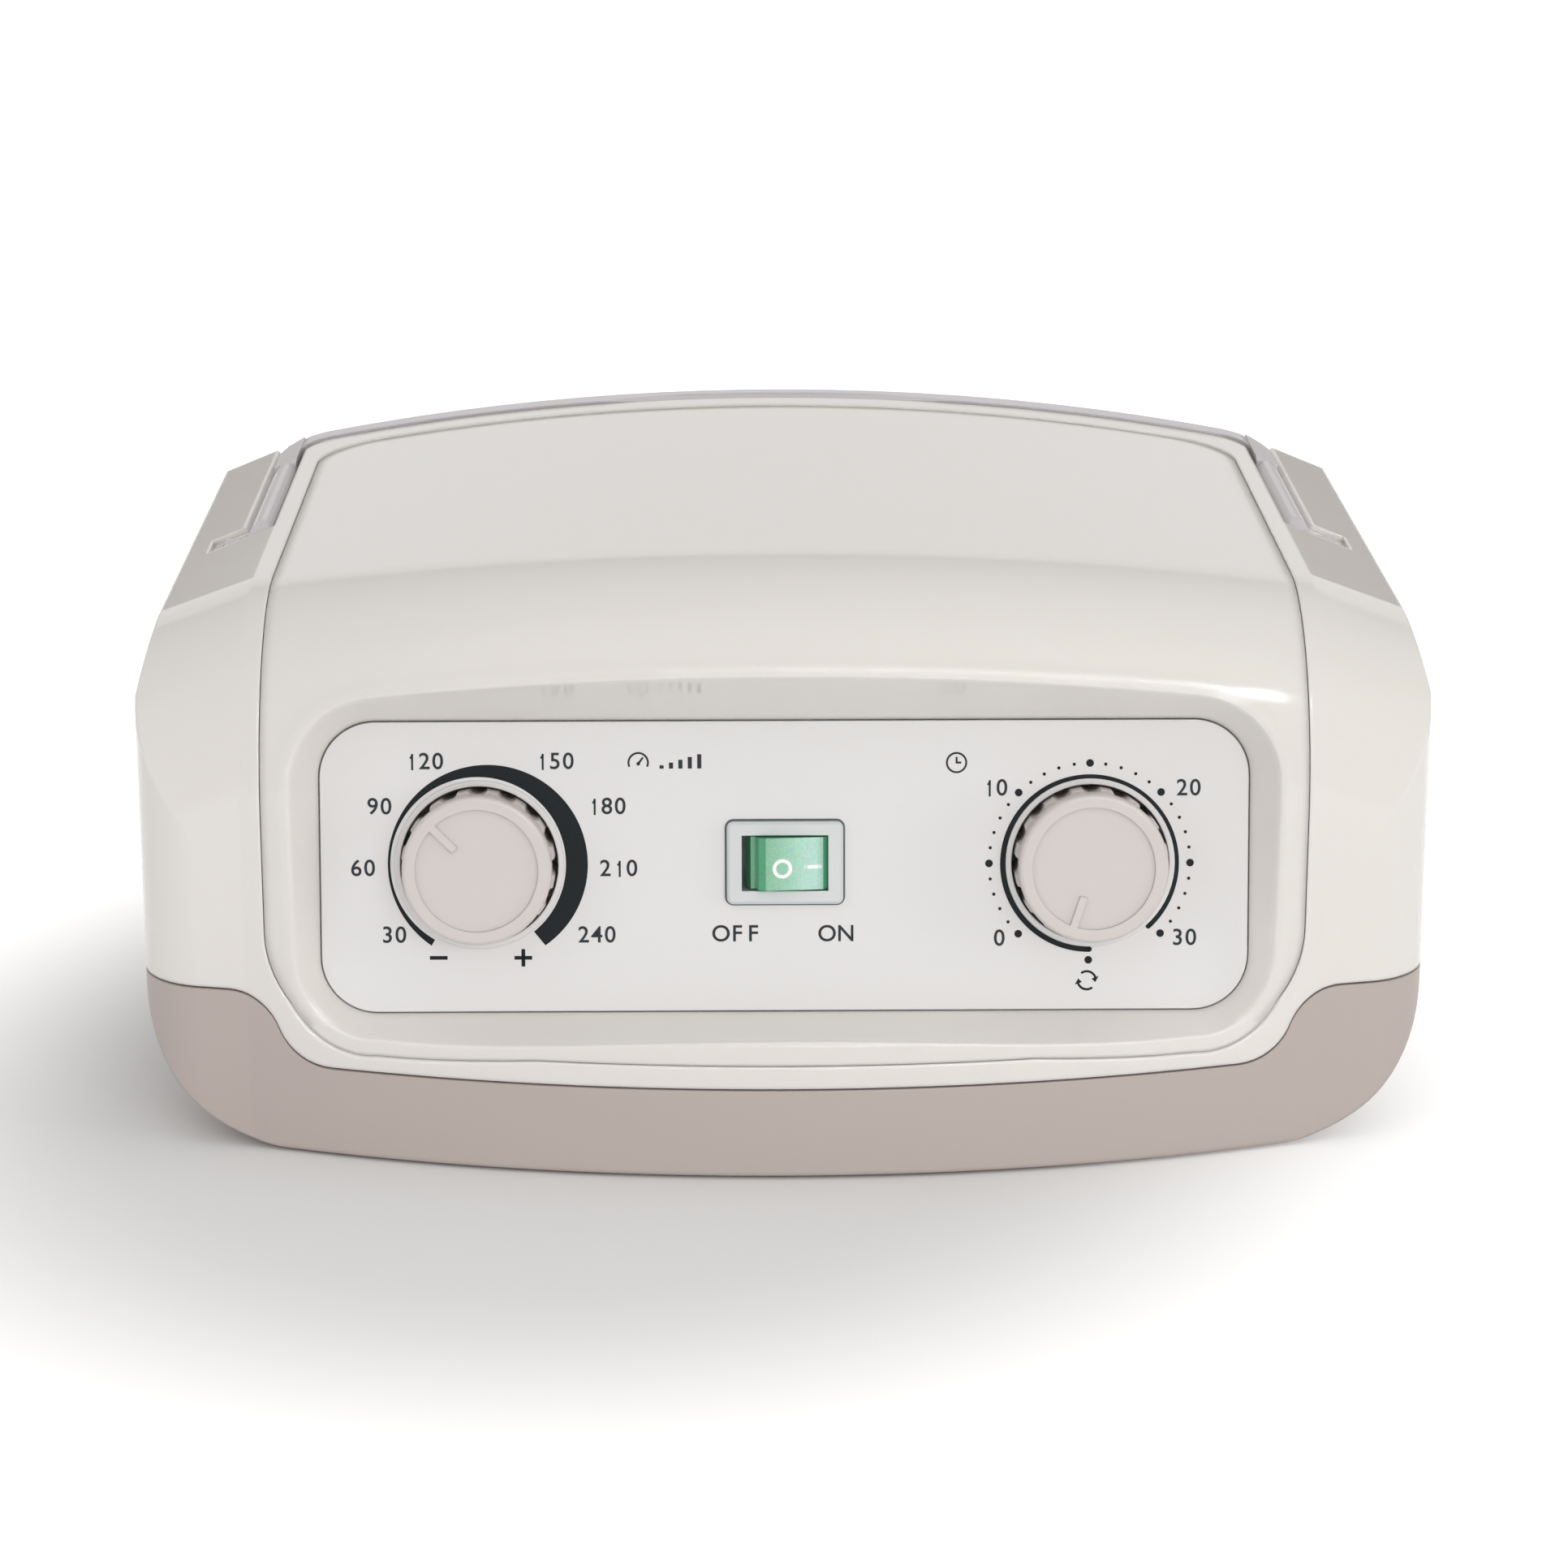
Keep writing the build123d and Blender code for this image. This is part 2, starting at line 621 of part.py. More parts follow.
# ================================================================ shells


def make_shells():
    """Upper housing, fascia, base tray and handle from one set of forms."""
    outside = form(0)
    cavity = form(WALL, through_rear=True)
    rib_inside = form(WALL + REAR_RIB_HEIGHT, through_rear=True)
    rib_slab = box(
        -FAR, FAR, REAR_PANEL_FRONT - REAR_PANEL_GAP - REAR_RIB_WIDTH,
        REAR_PANEL_FRONT - REAR_PANEL_GAP, 0, ABOVE,
    )
    rib = (cavity & rib_slab) - rib_inside
    shell = (outside - cavity) + rib

    upper = shell & above_seam(0)
    base = shell - above_seam(-SEAM_GAP)

    # lip of the base tray inside the upper housing
    lip_inside = form(WALL + LIP_THICK, through_rear=True)
    lip_slab = box(-FAR, FAR, -FAR, REAR_PANEL_FRONT - REAR_PANEL_GAP - REAR_RIB_WIDTH, 0, ABOVE)
    lip = (cavity - lip_inside) & lip_slab & (above_seam(-LIP_DOWN) - above_seam(LIP_UP))
    base = base + lip

    # fascia skin with the bowl that holds the control panel
    fascia_face = form(FASCIA_STEP)
    fascia_back = form(FASCIA_INSET)
    skin = (fascia_face - fascia_back) & fascia_region(0)
    bowl = recess(BOWL_WALL) & fascia_face
    wells = [
        on_panel(disc(WELL_RADIUS + BOWL_WALL, -WELL_FLOOR, -PANEL_THICK - BOWL_WALL / 2, u, DIAL_V))
        for u in (-DIAL_U, DIAL_U)
    ]
    fascia = skin + bowl
    for well in wells:
        fascia = fascia + well
    fascia = fascia - recess(0)
    for u in (-DIAL_U, DIAL_U):
        fascia = fascia - on_panel(disc(WELL_RADIUS, -WELL_DEPTH, 1, u, DIAL_V))
        fascia = fascia - on_panel(disc(BUSH_RADIUS + BUSH_CLEARANCE, -WELL_FLOOR - 1, 0, u, DIAL_V))
    fascia = fascia - on_panel(switch_cut())

    # housing: seat for the fascia, opening for the bowl
    seat_block = form(FASCIA_INSET + FASCIA_SEAT_GAP)
    seat = fascia_region(FASCIA_GAP) - seat_block
    upper = upper - seat - recess(BOWL_WALL + FASCIA_GAP)

    # housing: groove for the folded handle, with its own walls and the pivot blocks
    floor = under_crown(GROOVE_DEPTH)
    groove_front = PIVOT_Y - PIVOT_BOSS_RADIUS - HANDLE_GAP
    trough = bail_plan(HANDLE_GAP + GROOVE_WALL, REAR_Y) + box(
        -SLOT_OUTER - GROOVE_WALL, SLOT_OUTER + GROOVE_WALL,
        groove_front - GROOVE_WALL, PIVOT_Y, 0, ABOVE,
    )
    trough = (trough & outside) - under_crown(GROOVE_DEPTH + GROOVE_WALL)
    trough = trough - bail_inside(HANDLE_INNER_GAP + GROOVE_WALL, HANDLE_GAP + GROOVE_WALL)
    upper = upper + trough
    for side in (-1, 1):
        block_x = sorted((side * SLOT_OUTER, side * (ARM_OUTER + PIN_BLOCK_LENGTH)))
        block = box(
            block_x[0], block_x[1], PIVOT_Y - PIN_BLOCK_HALF, PIVOT_Y + PIN_BLOCK_HALF,
            PIVOT_Z - PIN_BLOCK_HALF, ABOVE,
        )
        x0, x1 = sorted((side * (SLOT_INNER - GROOVE_WALL), side * (SLOT_OUTER + GROOVE_WALL)))
        cup = rod_x(PIVOT_BOSS_RADIUS + HANDLE_GAP + GROOVE_WALL, x0, x1, PIVOT_Y, PIVOT_Z)
        upper = upper + ((block + cup) & outside)
    upper = upper - groove(floor, groove_front)

    # housing: posts for the case screws
    for x in (-POST_X, POST_X):
        for y in (POST_FRONT_Y, POST_REAR_Y):
            post = rod_z(POST_RADIUS, POST_JOINT_Z, ABOVE, x, y) & seat_block
            core = rod_z(SCREW_RADIUS, POST_JOINT_Z, SCREW_SEAT_Z + SCREW_LENGTH + 1, x, y)
            upper = upper + post - core

    return upper, fascia, base


def groove(floor, groove_front):
    """Space of the folded handle: two arm slots, the cross-bar's rebate and the pin pockets."""
    space = bail_plan(HANDLE_GAP, PIVOT_Y + BAR_OUTER_REACH + HANDLE_GAP)
    straight = ARM_OUTER - BAR_CORNER_RADIUS
    space = space + box(-straight, straight, PIVOT_Y + BAR_OUTER_REACH / 2, REAR_Y + 5, 0, ABOVE)
    space = space + box(-SLOT_OUTER, SLOT_OUTER, groove_front, PIVOT_Y, 0, ABOVE)
    space = space - bail_inside(HANDLE_INNER_GAP, HANDLE_GAP) - floor
    for side in (-1, 1):
        x0, x1 = sorted((side * SLOT_INNER, side * SLOT_OUTER))
        space = space + rod_x(PIVOT_BOSS_RADIUS + HANDLE_GAP, x0, x1, PIVOT_Y, PIVOT_Z)
        inner = side * ARM_OUTER
        tip = side * (ARM_OUTER + PIVOT_PIN_LENGTH + HANDLE_GAP)
        x0, x1 = sorted((inner, tip))
        space = space + rod_x(PIVOT_PIN_RADIUS + PIVOT_CLEARANCE, x0, x1, PIVOT_Y, PIVOT_Z)
        space = space + box(
            x0, x1, PIVOT_Y - PIN_SNAP_HALF, PIVOT_Y + PIN_SNAP_HALF, PIVOT_Z, ABOVE
        )
        x0, x1 = sorted((inner, inner + side * PIN_POCKET_LENGTH))
        pocket = box(x0, x1, groove_front, groove_front + PIN_POCKET_WIDTH, 0, ABOVE)
        space = space + (pocket - under_crown(PIN_POCKET_DEPTH))
    return space + slot_chamfer(groove_front)


def slot_chamfer(groove_front):
    """Wedge that breaks the outer top edge of both arm slots."""
    outer = SLOT_OUTER + SLOT_CHAMFER
    top = shoulder_z(outer)
    wedge = Polyline(
        (SLOT_OUTER - SLOT_CHAMFER, groove_front, top - 2 * SLOT_CHAMFER),
        (outer, groove_front, top),
        (outer, groove_front, ABOVE),
        (SLOT_OUTER - SLOT_CHAMFER, groove_front, ABOVE),
        close=True,
    )
    right = extrude(make_face(wedge), amount=2 * FAR, dir=(0, 1, 0))
    return right + right.mirror(Plane.YZ)


def over_arms():
    """Room above the level arms, which rises towards the cross-bar."""
    rear = PIVOT_Y + BAR_INNER_REACH
    side = Polyline(
        (0, 0, ARM_TOP), (0, ARM_RISE_Y, ARM_TOP), (0, rear, CROWN_TOP), (0, rear, ABOVE),
        (0, 0, ABOVE), close=True,
    )
    return extrude(make_face(side), amount=FAR, dir=(1, 0, 0), both=True)


def arm_chamfer(edge, inward):
    """Wedge that breaks one top edge of both arms, up to where they rise to the cross-bar."""
    def top(x):
        return min(ARM_TOP, shoulder_z(x) + ARM_PROUD)

    low = Vector(edge, 0, top(edge) - ARM_CHAMFER)
    high = Vector(edge + inward * ARM_CHAMFER, 0, top(edge + inward * ARM_CHAMFER))
    below = low * 2 - high
    wedge = Polyline(below, high, (high.X, 0, ABOVE), (below.X, 0, ABOVE), close=True)
    front = PIVOT_Y - 2 * PIVOT_BOSS_RADIUS
    right = Pos(0, front, 0) * extrude(make_face(wedge), amount=ARM_RISE_Y - front, dir=(0, 1, 0))
    return right + right.mirror(Plane.YZ)


def make_handle():
    """One-piece bail: two arms, the cross-bar between them and the pivot pins."""
    between = box(-ARM_INNER, ARM_INNER, -FAR, FAR, 0, ABOVE)
    proud = form(-BAR_PROUD) + (form(-ARM_PROUD) - between)
    bail = bail_plan(0, PIVOT_Y + BAR_OUTER_REACH)
    bail = (bail & proud) - under_crown(ARM_DEPTH) - bail_inside(0, 0)
    swept = rod_x(BAR_OUTER_REACH, -FAR, FAR, PIVOT_Y, PIVOT_Z)
    bail = (bail & swept) - over_arms()
    # the arm ends are round about the pivot axis
    for side in (-1, 1):
        x0, x1 = sorted((side * ARM_INNER, side * ARM_OUTER))
        bail = bail + (rod_x(PIVOT_BOSS_RADIUS, x0, x1, PIVOT_Y, PIVOT_Z) & proud)
    bail = bail - arm_chamfer(ARM_INNER, 1) - arm_chamfer(ARM_OUTER, -1)
    for side in (-1, 1):
        tip = side * (ARM_OUTER + PIVOT_PIN_LENGTH)
        x0, x1 = sorted((side * (ARM_OUTER - 1), tip))
        bail = bail + rod_x(PIVOT_PIN_RADIUS, x0, x1, PIVOT_Y, PIVOT_Z)
    return bail


def finish_base(base):
    """Posts, counterbores, foot pockets and board posts of the base tray."""
    for x in (-POST_X, POST_X):
        for y in (POST_FRONT_Y, POST_REAR_Y):
            base = base + rod_z(POST_RADIUS, FLOOR_Z - 1, POST_JOINT_Z - POST_GAP, x, y)
            base = base - rod_z(SCREW_HEAD_RADIUS + SCREW_CLEARANCE, 0, SCREW_SEAT_Z, x, y)
            base = base - rod_z(SCREW_RADIUS + SCREW_CLEARANCE, 0, POST_JOINT_Z, x, y)
    for x in (-FOOT_X, FOOT_X):
        for y in (FOOT_FRONT_Y, FOOT_REAR_Y):
            base = base - rod_z(RUBBER_FOOT_RADIUS, 0, BASE_Z + FOOT_POCKET, x, y)
    for x, y in board_corners():
        base = base + rod_z(BOARD_POST_RADIUS, FLOOR_Z - 1, BOARD_Z, x, y)
        base = base - rod_z(SCREW_RADIUS, FLOOR_Z + 1, BOARD_Z, x, y)
    return base


def make_rear_panel():
    """Plate that closes the rear, held behind the ribs of both shells."""
    slab = box(-FAR, FAR, REAR_PANEL_FRONT, REAR_PANEL_REAR, 0, ABOVE)
    plate = form(WALL + REAR_PANEL_GAP, through_rear=True) & slab
    plate = plate & under_crown(GROOVE_DEPTH + GROOVE_WALL + REAR_PANEL_GAP)
    for i in range(VENT_COUNT):
        x = VENT_X + (i - (VENT_COUNT - 1) / 2) * VENT_PITCH
        slot = SlotOverall(VENT_HEIGHT, VENT_WIDTH, rotation=90)
        cut = Pos(x, FAR, VENT_Z) * Rot(90, 0, 0) * extrude(slot, 2 * FAR)
        plate = plate - cut
    for x in SOCKET_X:
        half_w = SOCKET_BODY_WIDTH / 2 + REAR_PANEL_GAP
        half_h = SOCKET_BODY_HEIGHT / 2 + REAR_PANEL_GAP
        plate = plate - box(x - half_w, x + half_w, 0, FAR, PORT_Z - half_h, PORT_Z + half_h)
    half_w = INLET_BODY_WIDTH / 2 + REAR_PANEL_GAP
    half_h = INLET_BODY_HEIGHT / 2 + REAR_PANEL_GAP
    plate = plate - box(
        INLET_X - half_w, INLET_X + half_w, 0, FAR, INLET_Z - half_h, INLET_Z + half_h
    )
    plate = plate - rod_y(FUSE_BARREL_RADIUS + REAR_PANEL_GAP, 0, FAR, FUSE_X, FUSE_Z)
    for x in inlet_screw_x():
        plate = plate - rod_y(SCREW_RADIUS, 0, FAR, x, INLET_Z)
    return plate


# ================================================================ control panel pieces


def switch_cut():
    """Rectangular cut-out for the rocker switch through the panel and the bowl."""
    width = SWITCH_BODY_WIDTH + 2 * SWITCH_CUT_GAP
    height = SWITCH_BODY_HEIGHT + 2 * SWITCH_CUT_GAP
    return Pos(0, SWITCH_V, 0) * Box(width, height, 4 * BOWL_FLOOR)


def make_control_panel():
    """Printed overlay plate with a small raised rim round each dial well."""
    plate = extrude(RectangleRounded(PANEL_WIDTH, PANEL_HEIGHT, PANEL_RADIUS), -PANEL_THICK)
    plate = plate - switch_cut()
    for u in (-DIAL_U, DIAL_U):
        plate = plate + disc(WELL_RADIUS + RIM_WIDTH, -PANEL_THICK, RIM_HEIGHT, u, DIAL_V)
        plate = plate - disc(WELL_RADIUS, -BOWL_FLOOR, RIM_HEIGHT + 1, u, DIAL_V)
    return on_panel(plate)


def make_knob(u, angle):
    """Turned-in knob: fluted skirt, plain cap with a raised rim, dished face and pointer rib."""
    skirt_radius = WELL_RADIUS - KNOB_CLEARANCE
    bottom = -WELL_DEPTH + KNOB_LIFT
    top = KNOB_HEIGHT
    cap_base = top - KNOB_CAP_THICK
    skirt = disc(skirt_radius, bottom, cap_base)
    for i in range(KNOB_FLUTES):
        turn = Rot(0, 0, 360 * i / KNOB_FLUTES)
        reach = skirt_radius - FLUTE_DEPTH + FLUTE_RADIUS
        skirt = skirt - turn * disc(FLUTE_RADIUS, bottom, cap_base, reach, 0)
    cap = disc(KNOB_CAP_RADIUS, cap_base, top)
    cap = chamfer(cap.edges().sort_by(Axis.Z)[0], 1.0)
    cap = fillet(cap.edges().sort_by(Axis.Z)[-1], 0.8)
    dish = disc(KNOB_DISH_RADIUS, top - KNOB_DISH_DEPTH, top + 1)
    pointer = Pos(0, (POINTER_INNER + KNOB_CAP_RADIUS) / 2, top - KNOB_DISH_DEPTH / 2) * Box(
        POINTER_WIDTH, KNOB_CAP_RADIUS - POINTER_INNER - 1, KNOB_DISH_DEPTH
    )
    cap = cap - dish + Rot(0, 0, angle) * pointer
    hollow = disc(KNOB_CAP_RADIUS - 3, bottom, cap_base + 1)
    hub_bottom = -WELL_DEPTH + NUT_THICK + KNOB_LIFT
    hub = disc(KNOB_HUB_RADIUS, hub_bottom, cap_base + 1)
    knob = skirt + cap - hollow + hub
    knob = knob - disc(SHAFT_RADIUS, hub_bottom, top - 2)
    return on_panel(Pos(u, DIAL_V, 0) * knob)


def make_shaft(u):
    """Control shaft that the knob is pushed onto."""
    back = -WELL_FLOOR - CONTROL_SHAFT_DEPTH
    return on_panel(disc(SHAFT_RADIUS, back, KNOB_HEIGHT - 2, u, DIAL_V))


def control_bore(u):
    """Bearing bore of a control, with its running clearance."""
    back = -WELL_FLOOR - CONTROL_SHAFT_DEPTH - 0.3
    return disc(SHAFT_RADIUS + SHAFT_CLEARANCE, back, 0, u, DIAL_V)


def control_bush(u):
    """Threaded bush that passes the floor of the dial well."""
    return disc(BUSH_RADIUS, -WELL_FLOOR - 1, -WELL_DEPTH + NUT_THICK, u, DIAL_V)


def make_regulator():
    """Diaphragm pressure regulator: bonnet, clamped rim and tube nozzle."""
    u = -DIAL_U
    back = -WELL_FLOOR - REGULATOR_DEPTH
    body = disc(REGULATOR_RADIUS, back, -WELL_FLOOR, u, DIAL_V)
    rim = disc(REGULATOR_RADIUS + 2.5, back + 8, back + 13, u, DIAL_V)
    cap = disc(REGULATOR_CAP_RADIUS, back - REGULATOR_CAP, back, u, DIAL_V)
    nozzle = disc(STUB_RADIUS, back - REGULATOR_CAP - STUB_LENGTH, back, u, DIAL_V)
    regulator = body + rim + cap + nozzle + control_bush(u) - control_bore(u)
    air_way = disc(AIR_BORE, back - REGULATOR_CAP - STUB_LENGTH, back, u, DIAL_V)
    return on_panel(regulator - air_way)


def make_timer():
    """Clockwork timer: square gear case with round bell cover."""
    u = DIAL_U
    back = -WELL_FLOOR - TIMER_DEPTH
    case = Pos(u, DIAL_V, (back - WELL_FLOOR) / 2) * Box(TIMER_WIDTH, TIMER_HEIGHT, TIMER_DEPTH)
    case = chamfer(case.edges().filter_by(Axis.Z), 3)
    bell = disc(TIMER_HEIGHT / 2 - 1, back - 5, back, u, DIAL_V)
    return on_panel(case + bell + control_bush(u) - control_bore(u))


def make_dial_nuts():
    """Two hexagonal nuts that hold the controls to the wells."""
    nuts = []
    for u in (-DIAL_U, DIAL_U):
        blank = extrude(RegularPolygon(NUT_ACROSS / 2, 6, major_radius=False), NUT_THICK)
        nut = Pos(u, DIAL_V, -WELL_DEPTH) * blank
        nuts.append(on_panel(nut - disc(BUSH_RADIUS, -WELL_FLOOR, 0, u, DIAL_V)))
    return group(nuts)


def make_switch_body():
    """Snap-in switch housing with its bezel, open at the front."""
    depth = SWITCH_BODY_DEPTH
    bezel = extrude(RectangleRounded(BEZEL_WIDTH, BEZEL_HEIGHT, BEZEL_RADIUS), BEZEL_THICK)
    bezel = chamfer(bezel.edges().group_by(Axis.Z)[-1], 0.5)
    body = Pos(0, 0, -depth / 2) * Box(SWITCH_BODY_WIDTH, SWITCH_BODY_HEIGHT, depth)
    inner_height = SWITCH_OPENING_HEIGHT
    opening = Pos(0, 0, 0) * Box(SWITCH_OPENING_WIDTH, inner_height, 4 * BEZEL_THICK)
    cavity_width = SWITCH_BODY_WIDTH - 2 * SWITCH_WALL
    cavity_depth = ROCKER_PIVOT + ROCKER_KEEL + ROCKER_SIDE_GAP + 3
    cavity = Pos(0, 0, -cavity_depth / 2) * Box(cavity_width, inner_height, cavity_depth)
    pin = Pos(0, 0, -ROCKER_PIVOT) * Rot(90, 0, 0) * Cylinder(
        ROCKER_PIN_RADIUS + SHAFT_CLEARANCE, SWITCH_OPENING_HEIGHT + 2 * 0.9
    )
    body = bezel + body - opening - cavity - pin
    return on_panel(Pos(0, SWITCH_V, 0) * body)


def make_rocker():
    """Rocker pressed on its right side: flat top, sloped ends, skirt and two pivot pins."""
    half_height = SWITCH_OPENING_HEIGHT / 2 - ROCKER_SIDE_GAP
    side_top = ROCKER_TOP - (ROCKER_SIDE_HALF - ROCKER_TOP_HALF) * tan(radians(40))
    right = [
        (ROCKER_TOP_HALF, ROCKER_TOP),
        (ROCKER_SIDE_HALF, side_top),
        (ROCKER_SIDE_HALF, ROCKER_SKIRT_TOP),
        (ROCKER_SKIRT_HALF, ROCKER_SKIRT_TOP),
        (ROCKER_SKIRT_HALF, 0),
        (2.0, -ROCKER_KEEL),
    ]
    outline = right + [(-u, n) for u, n in reversed(right)]
    profile = make_face(Polyline(*outline, close=True))
    block = Rot(90, 0, 0) * extrude(profile, half_height, both=True)
    block = block + Rot(90, 0, 0) * Cylinder(ROCKER_PIN_RADIUS, SWITCH_OPENING_HEIGHT + 2 * 0.8)
    return on_panel(Pos(0, SWITCH_V, -ROCKER_PIVOT) * Rot(0, ROCKER_TILT, 0) * block)


def make_terminals():
    """Four flat blades at the back of the switch."""
    blades = []
    for u in (-SWITCH_BODY_WIDTH / 4, SWITCH_BODY_WIDTH / 4):
        for v in (-SWITCH_BODY_HEIGHT / 4, SWITCH_BODY_HEIGHT / 4):
            blade = Box(TERMINAL_WIDTH, TERMINAL_THICK, TERMINAL_LENGTH)
            n = -SWITCH_BODY_DEPTH - TERMINAL_LENGTH / 2
            blades.append(on_panel(Pos(u, SWITCH_V + v, n) * blade))
    return group(blades)


# ================================================================ rear fittings


def make_hose_socket(x):
    """Four-way hose socket: flange, body through the panel, outer nozzles and inner stubs."""
    flange = box(
        x - SOCKET_WIDTH / 2, x + SOCKET_WIDTH / 2, REAR_PANEL_REAR, REAR_PANEL_REAR + SOCKET_FLANGE,
        PORT_Z - SOCKET_HEIGHT / 2, PORT_Z + SOCKET_HEIGHT / 2,
    )
    flange = fillet(flange.edges().filter_by(Axis.Y), 3)
    body = box(
        x - SOCKET_BODY_WIDTH / 2, x + SOCKET_BODY_WIDTH / 2, REAR_PANEL_FRONT - 2, REAR_PANEL_REAR,
        PORT_Z - SOCKET_BODY_HEIGHT / 2, PORT_Z + SOCKET_BODY_HEIGHT / 2,
    )
    socket = flange + body
    outer_start = REAR_PANEL_REAR + SOCKET_FLANGE
    inner_start = REAR_PANEL_FRONT - 2
    for dx in SOCKET_PORTS:
        socket = socket + rod_y(NOZZLE_RADIUS, outer_start, outer_start + NOZZLE_LENGTH, x + dx, PORT_Z)
        socket = socket + rod_y(STUB_RADIUS, inner_start - STUB_LENGTH, inner_start, x + dx, PORT_Z)
        socket = socket - rod_y(AIR_BORE, 0, FAR, x + dx, PORT_Z)
    return socket


def figure_eight(width, height, y0, y1):
    """Two overlapping rounds and the web between them, along Y."""
    radius = height / 2
    offset = width / 2 - radius
    shape = box(-offset, offset, y0, y1, -radius * 0.8, radius * 0.8)
    for side in (-1, 1):
        shape = shape + rod_y(radius, y0, y1, side * offset, 0)
    return Pos(INLET_X, 0, INLET_Z) * shape


def inlet_screw_x():
    """The two screws of the mains inlet."""
    return [INLET_X + side * INLET_SCREW_PITCH / 2 for side in (-1, 1)]


def make_mains_inlet():
    """Two-pole mains inlet: flange with two screw holes and a figure-eight socket."""
    rear = REAR_PANEL_REAR + INLET_FLANGE
    flange = box(
        INLET_X - INLET_FLANGE_WIDTH / 2, INLET_X + INLET_FLANGE_WIDTH / 2, REAR_PANEL_REAR, rear,
        INLET_Z - INLET_FLANGE_HEIGHT / 2, INLET_Z + INLET_FLANGE_HEIGHT / 2,
    )
    flange = fillet(flange.edges().filter_by(Axis.Y), 4)
    body = box(
        INLET_X - INLET_BODY_WIDTH / 2, INLET_X + INLET_BODY_WIDTH / 2, rear - INLET_BODY_DEPTH, rear,
        INLET_Z - INLET_BODY_HEIGHT / 2, INLET_Z + INLET_BODY_HEIGHT / 2,
    )
    inlet = flange + body
    inlet = inlet - figure_eight(
        INLET_SOCKET_WIDTH, INLET_SOCKET_HEIGHT, rear - INLET_SOCKET_DEPTH, rear + 1
    )
    for x in inlet_screw_x():
        inlet = inlet - rod_y(SCREW_RADIUS, 0, FAR, x, INLET_Z)
    for side in (-1, 1):
        x = INLET_X + side * INLET_PIN_PITCH / 2
        inlet = inlet - rod_y(INLET_PIN_RADIUS, 0, FAR, x, INLET_Z)
    return inlet


def make_inlet_pins():
    """Contact pins of the mains inlet, with their solder tails."""
    rear = REAR_PANEL_REAR + INLET_FLANGE
    pins = []
    for side in (-1, 1):
        x = INLET_X + side * INLET_PIN_PITCH / 2
        front = rear - INLET_BODY_DEPTH - 5
        pins.append(rod_y(INLET_PIN_RADIUS, front, rear - INLET_SOCKET_DEPTH + INLET_PIN_LENGTH, x, INLET_Z))
    return group(pins)


def make_inlet_screws():
    """Pan-head screws of the mains inlet."""
    rear = REAR_PANEL_REAR + INLET_FLANGE
    screws = []
    for x in inlet_screw_x():
        head = rod_y(SCREW_HEAD_RADIUS - 0.4, rear, rear + 1.6, x, INLET_Z)
        head = chamfer(head.edges().sort_by(Axis.Y)[-1], 0.6)
        shank = rod_y(SCREW_RADIUS, REAR_PANEL_FRONT - 3, rear, x, INLET_Z)
        slot = Pos(x, rear + 1.6, INLET_Z) * Box(4.0, 1.2, 0.8)
        screws.append(head + shank - slot)
    return group(screws)


def make_fuse_holder():
    """Panel fuse holder: flange ring and barrel."""
    holder = rod_y(FUSE_FLANGE_RADIUS, REAR_PANEL_REAR, REAR_PANEL_REAR + FUSE_FLANGE, FUSE_X, FUSE_Z)
    front = REAR_PANEL_REAR - FUSE_BARREL_DEPTH
    holder = holder + rod_y(FUSE_BARREL_RADIUS, front, REAR_PANEL_REAR, FUSE_X, FUSE_Z)
    bore_front = front + FUSE_HOLDER_END
    return holder - rod_y(FUSE_BORE, bore_front, REAR_PANEL_REAR + FUSE_FLANGE + 1, FUSE_X, FUSE_Z)


def make_fuse_cap():
    """Bayonet cap with a coin slot; its stem holds the fuse."""
    seat = REAR_PANEL_REAR + FUSE_FLANGE + 0.3
    head = rod_y(FUSE_CAP_RADIUS, seat, seat + FUSE_CAP_HEIGHT, FUSE_X, FUSE_Z)
    head = chamfer(head.edges().sort_by(Axis.Y)[-1], 0.6)
    slot = Pos(FUSE_X, seat + FUSE_CAP_HEIGHT, FUSE_Z) * Box(9.0, 2.4, 1.6)
    stem = rod_y(FUSE_BORE - FUSE_CLEARANCE, REAR_PANEL_REAR - 6, seat, FUSE_X, FUSE_Z)
    bore = rod_y(FUSE_RADIUS, REAR_PANEL_REAR - 7, REAR_PANEL_REAR, FUSE_X, FUSE_Z)
    return head + stem - slot - bore


def make_fuse():
    """Cartridge fuse carried by the cap."""
    return rod_y(FUSE_RADIUS, REAR_PANEL_REAR - FUSE_LENGTH, REAR_PANEL_REAR, FUSE_X, FUSE_Z)


# ================================================================ feet and screws


def make_feet():
    """Four rubber feet in the pockets of the base tray."""
    feet = []
    for x in (-FOOT_X, FOOT_X):
        for y in (FOOT_FRONT_Y, FOOT_REAR_Y):
            foot = rod_z(RUBBER_FOOT_RADIUS, 0, BASE_Z + FOOT_POCKET, x, y)
            feet.append(chamfer(foot.edges().sort_by(Axis.Z)[0], 0.5))
    return group(feet)


def make_case_screws():
    """Four long screws from the base tray into the posts of the upper housing."""
    screws = []
    for x in (-POST_X, POST_X):
        for y in (POST_FRONT_Y, POST_REAR_Y):
            head = rod_z(SCREW_HEAD_RADIUS, SCREW_SEAT_Z - SCREW_HEAD_THICK, SCREW_SEAT_Z, x, y)
            shank = rod_z(SCREW_RADIUS, SCREW_SEAT_Z, SCREW_SEAT_Z + SCREW_LENGTH, x, y)
            screws.append(head + shank)
    return group(screws)


# ================================================================ compressor


def at_compressor(shape):
    """Move a shape from the compressor's own frame (armature axis at the origin)."""
    return Pos(COMPRESSOR_X, COMPRESSOR_Y, AXIS_Z) * shape


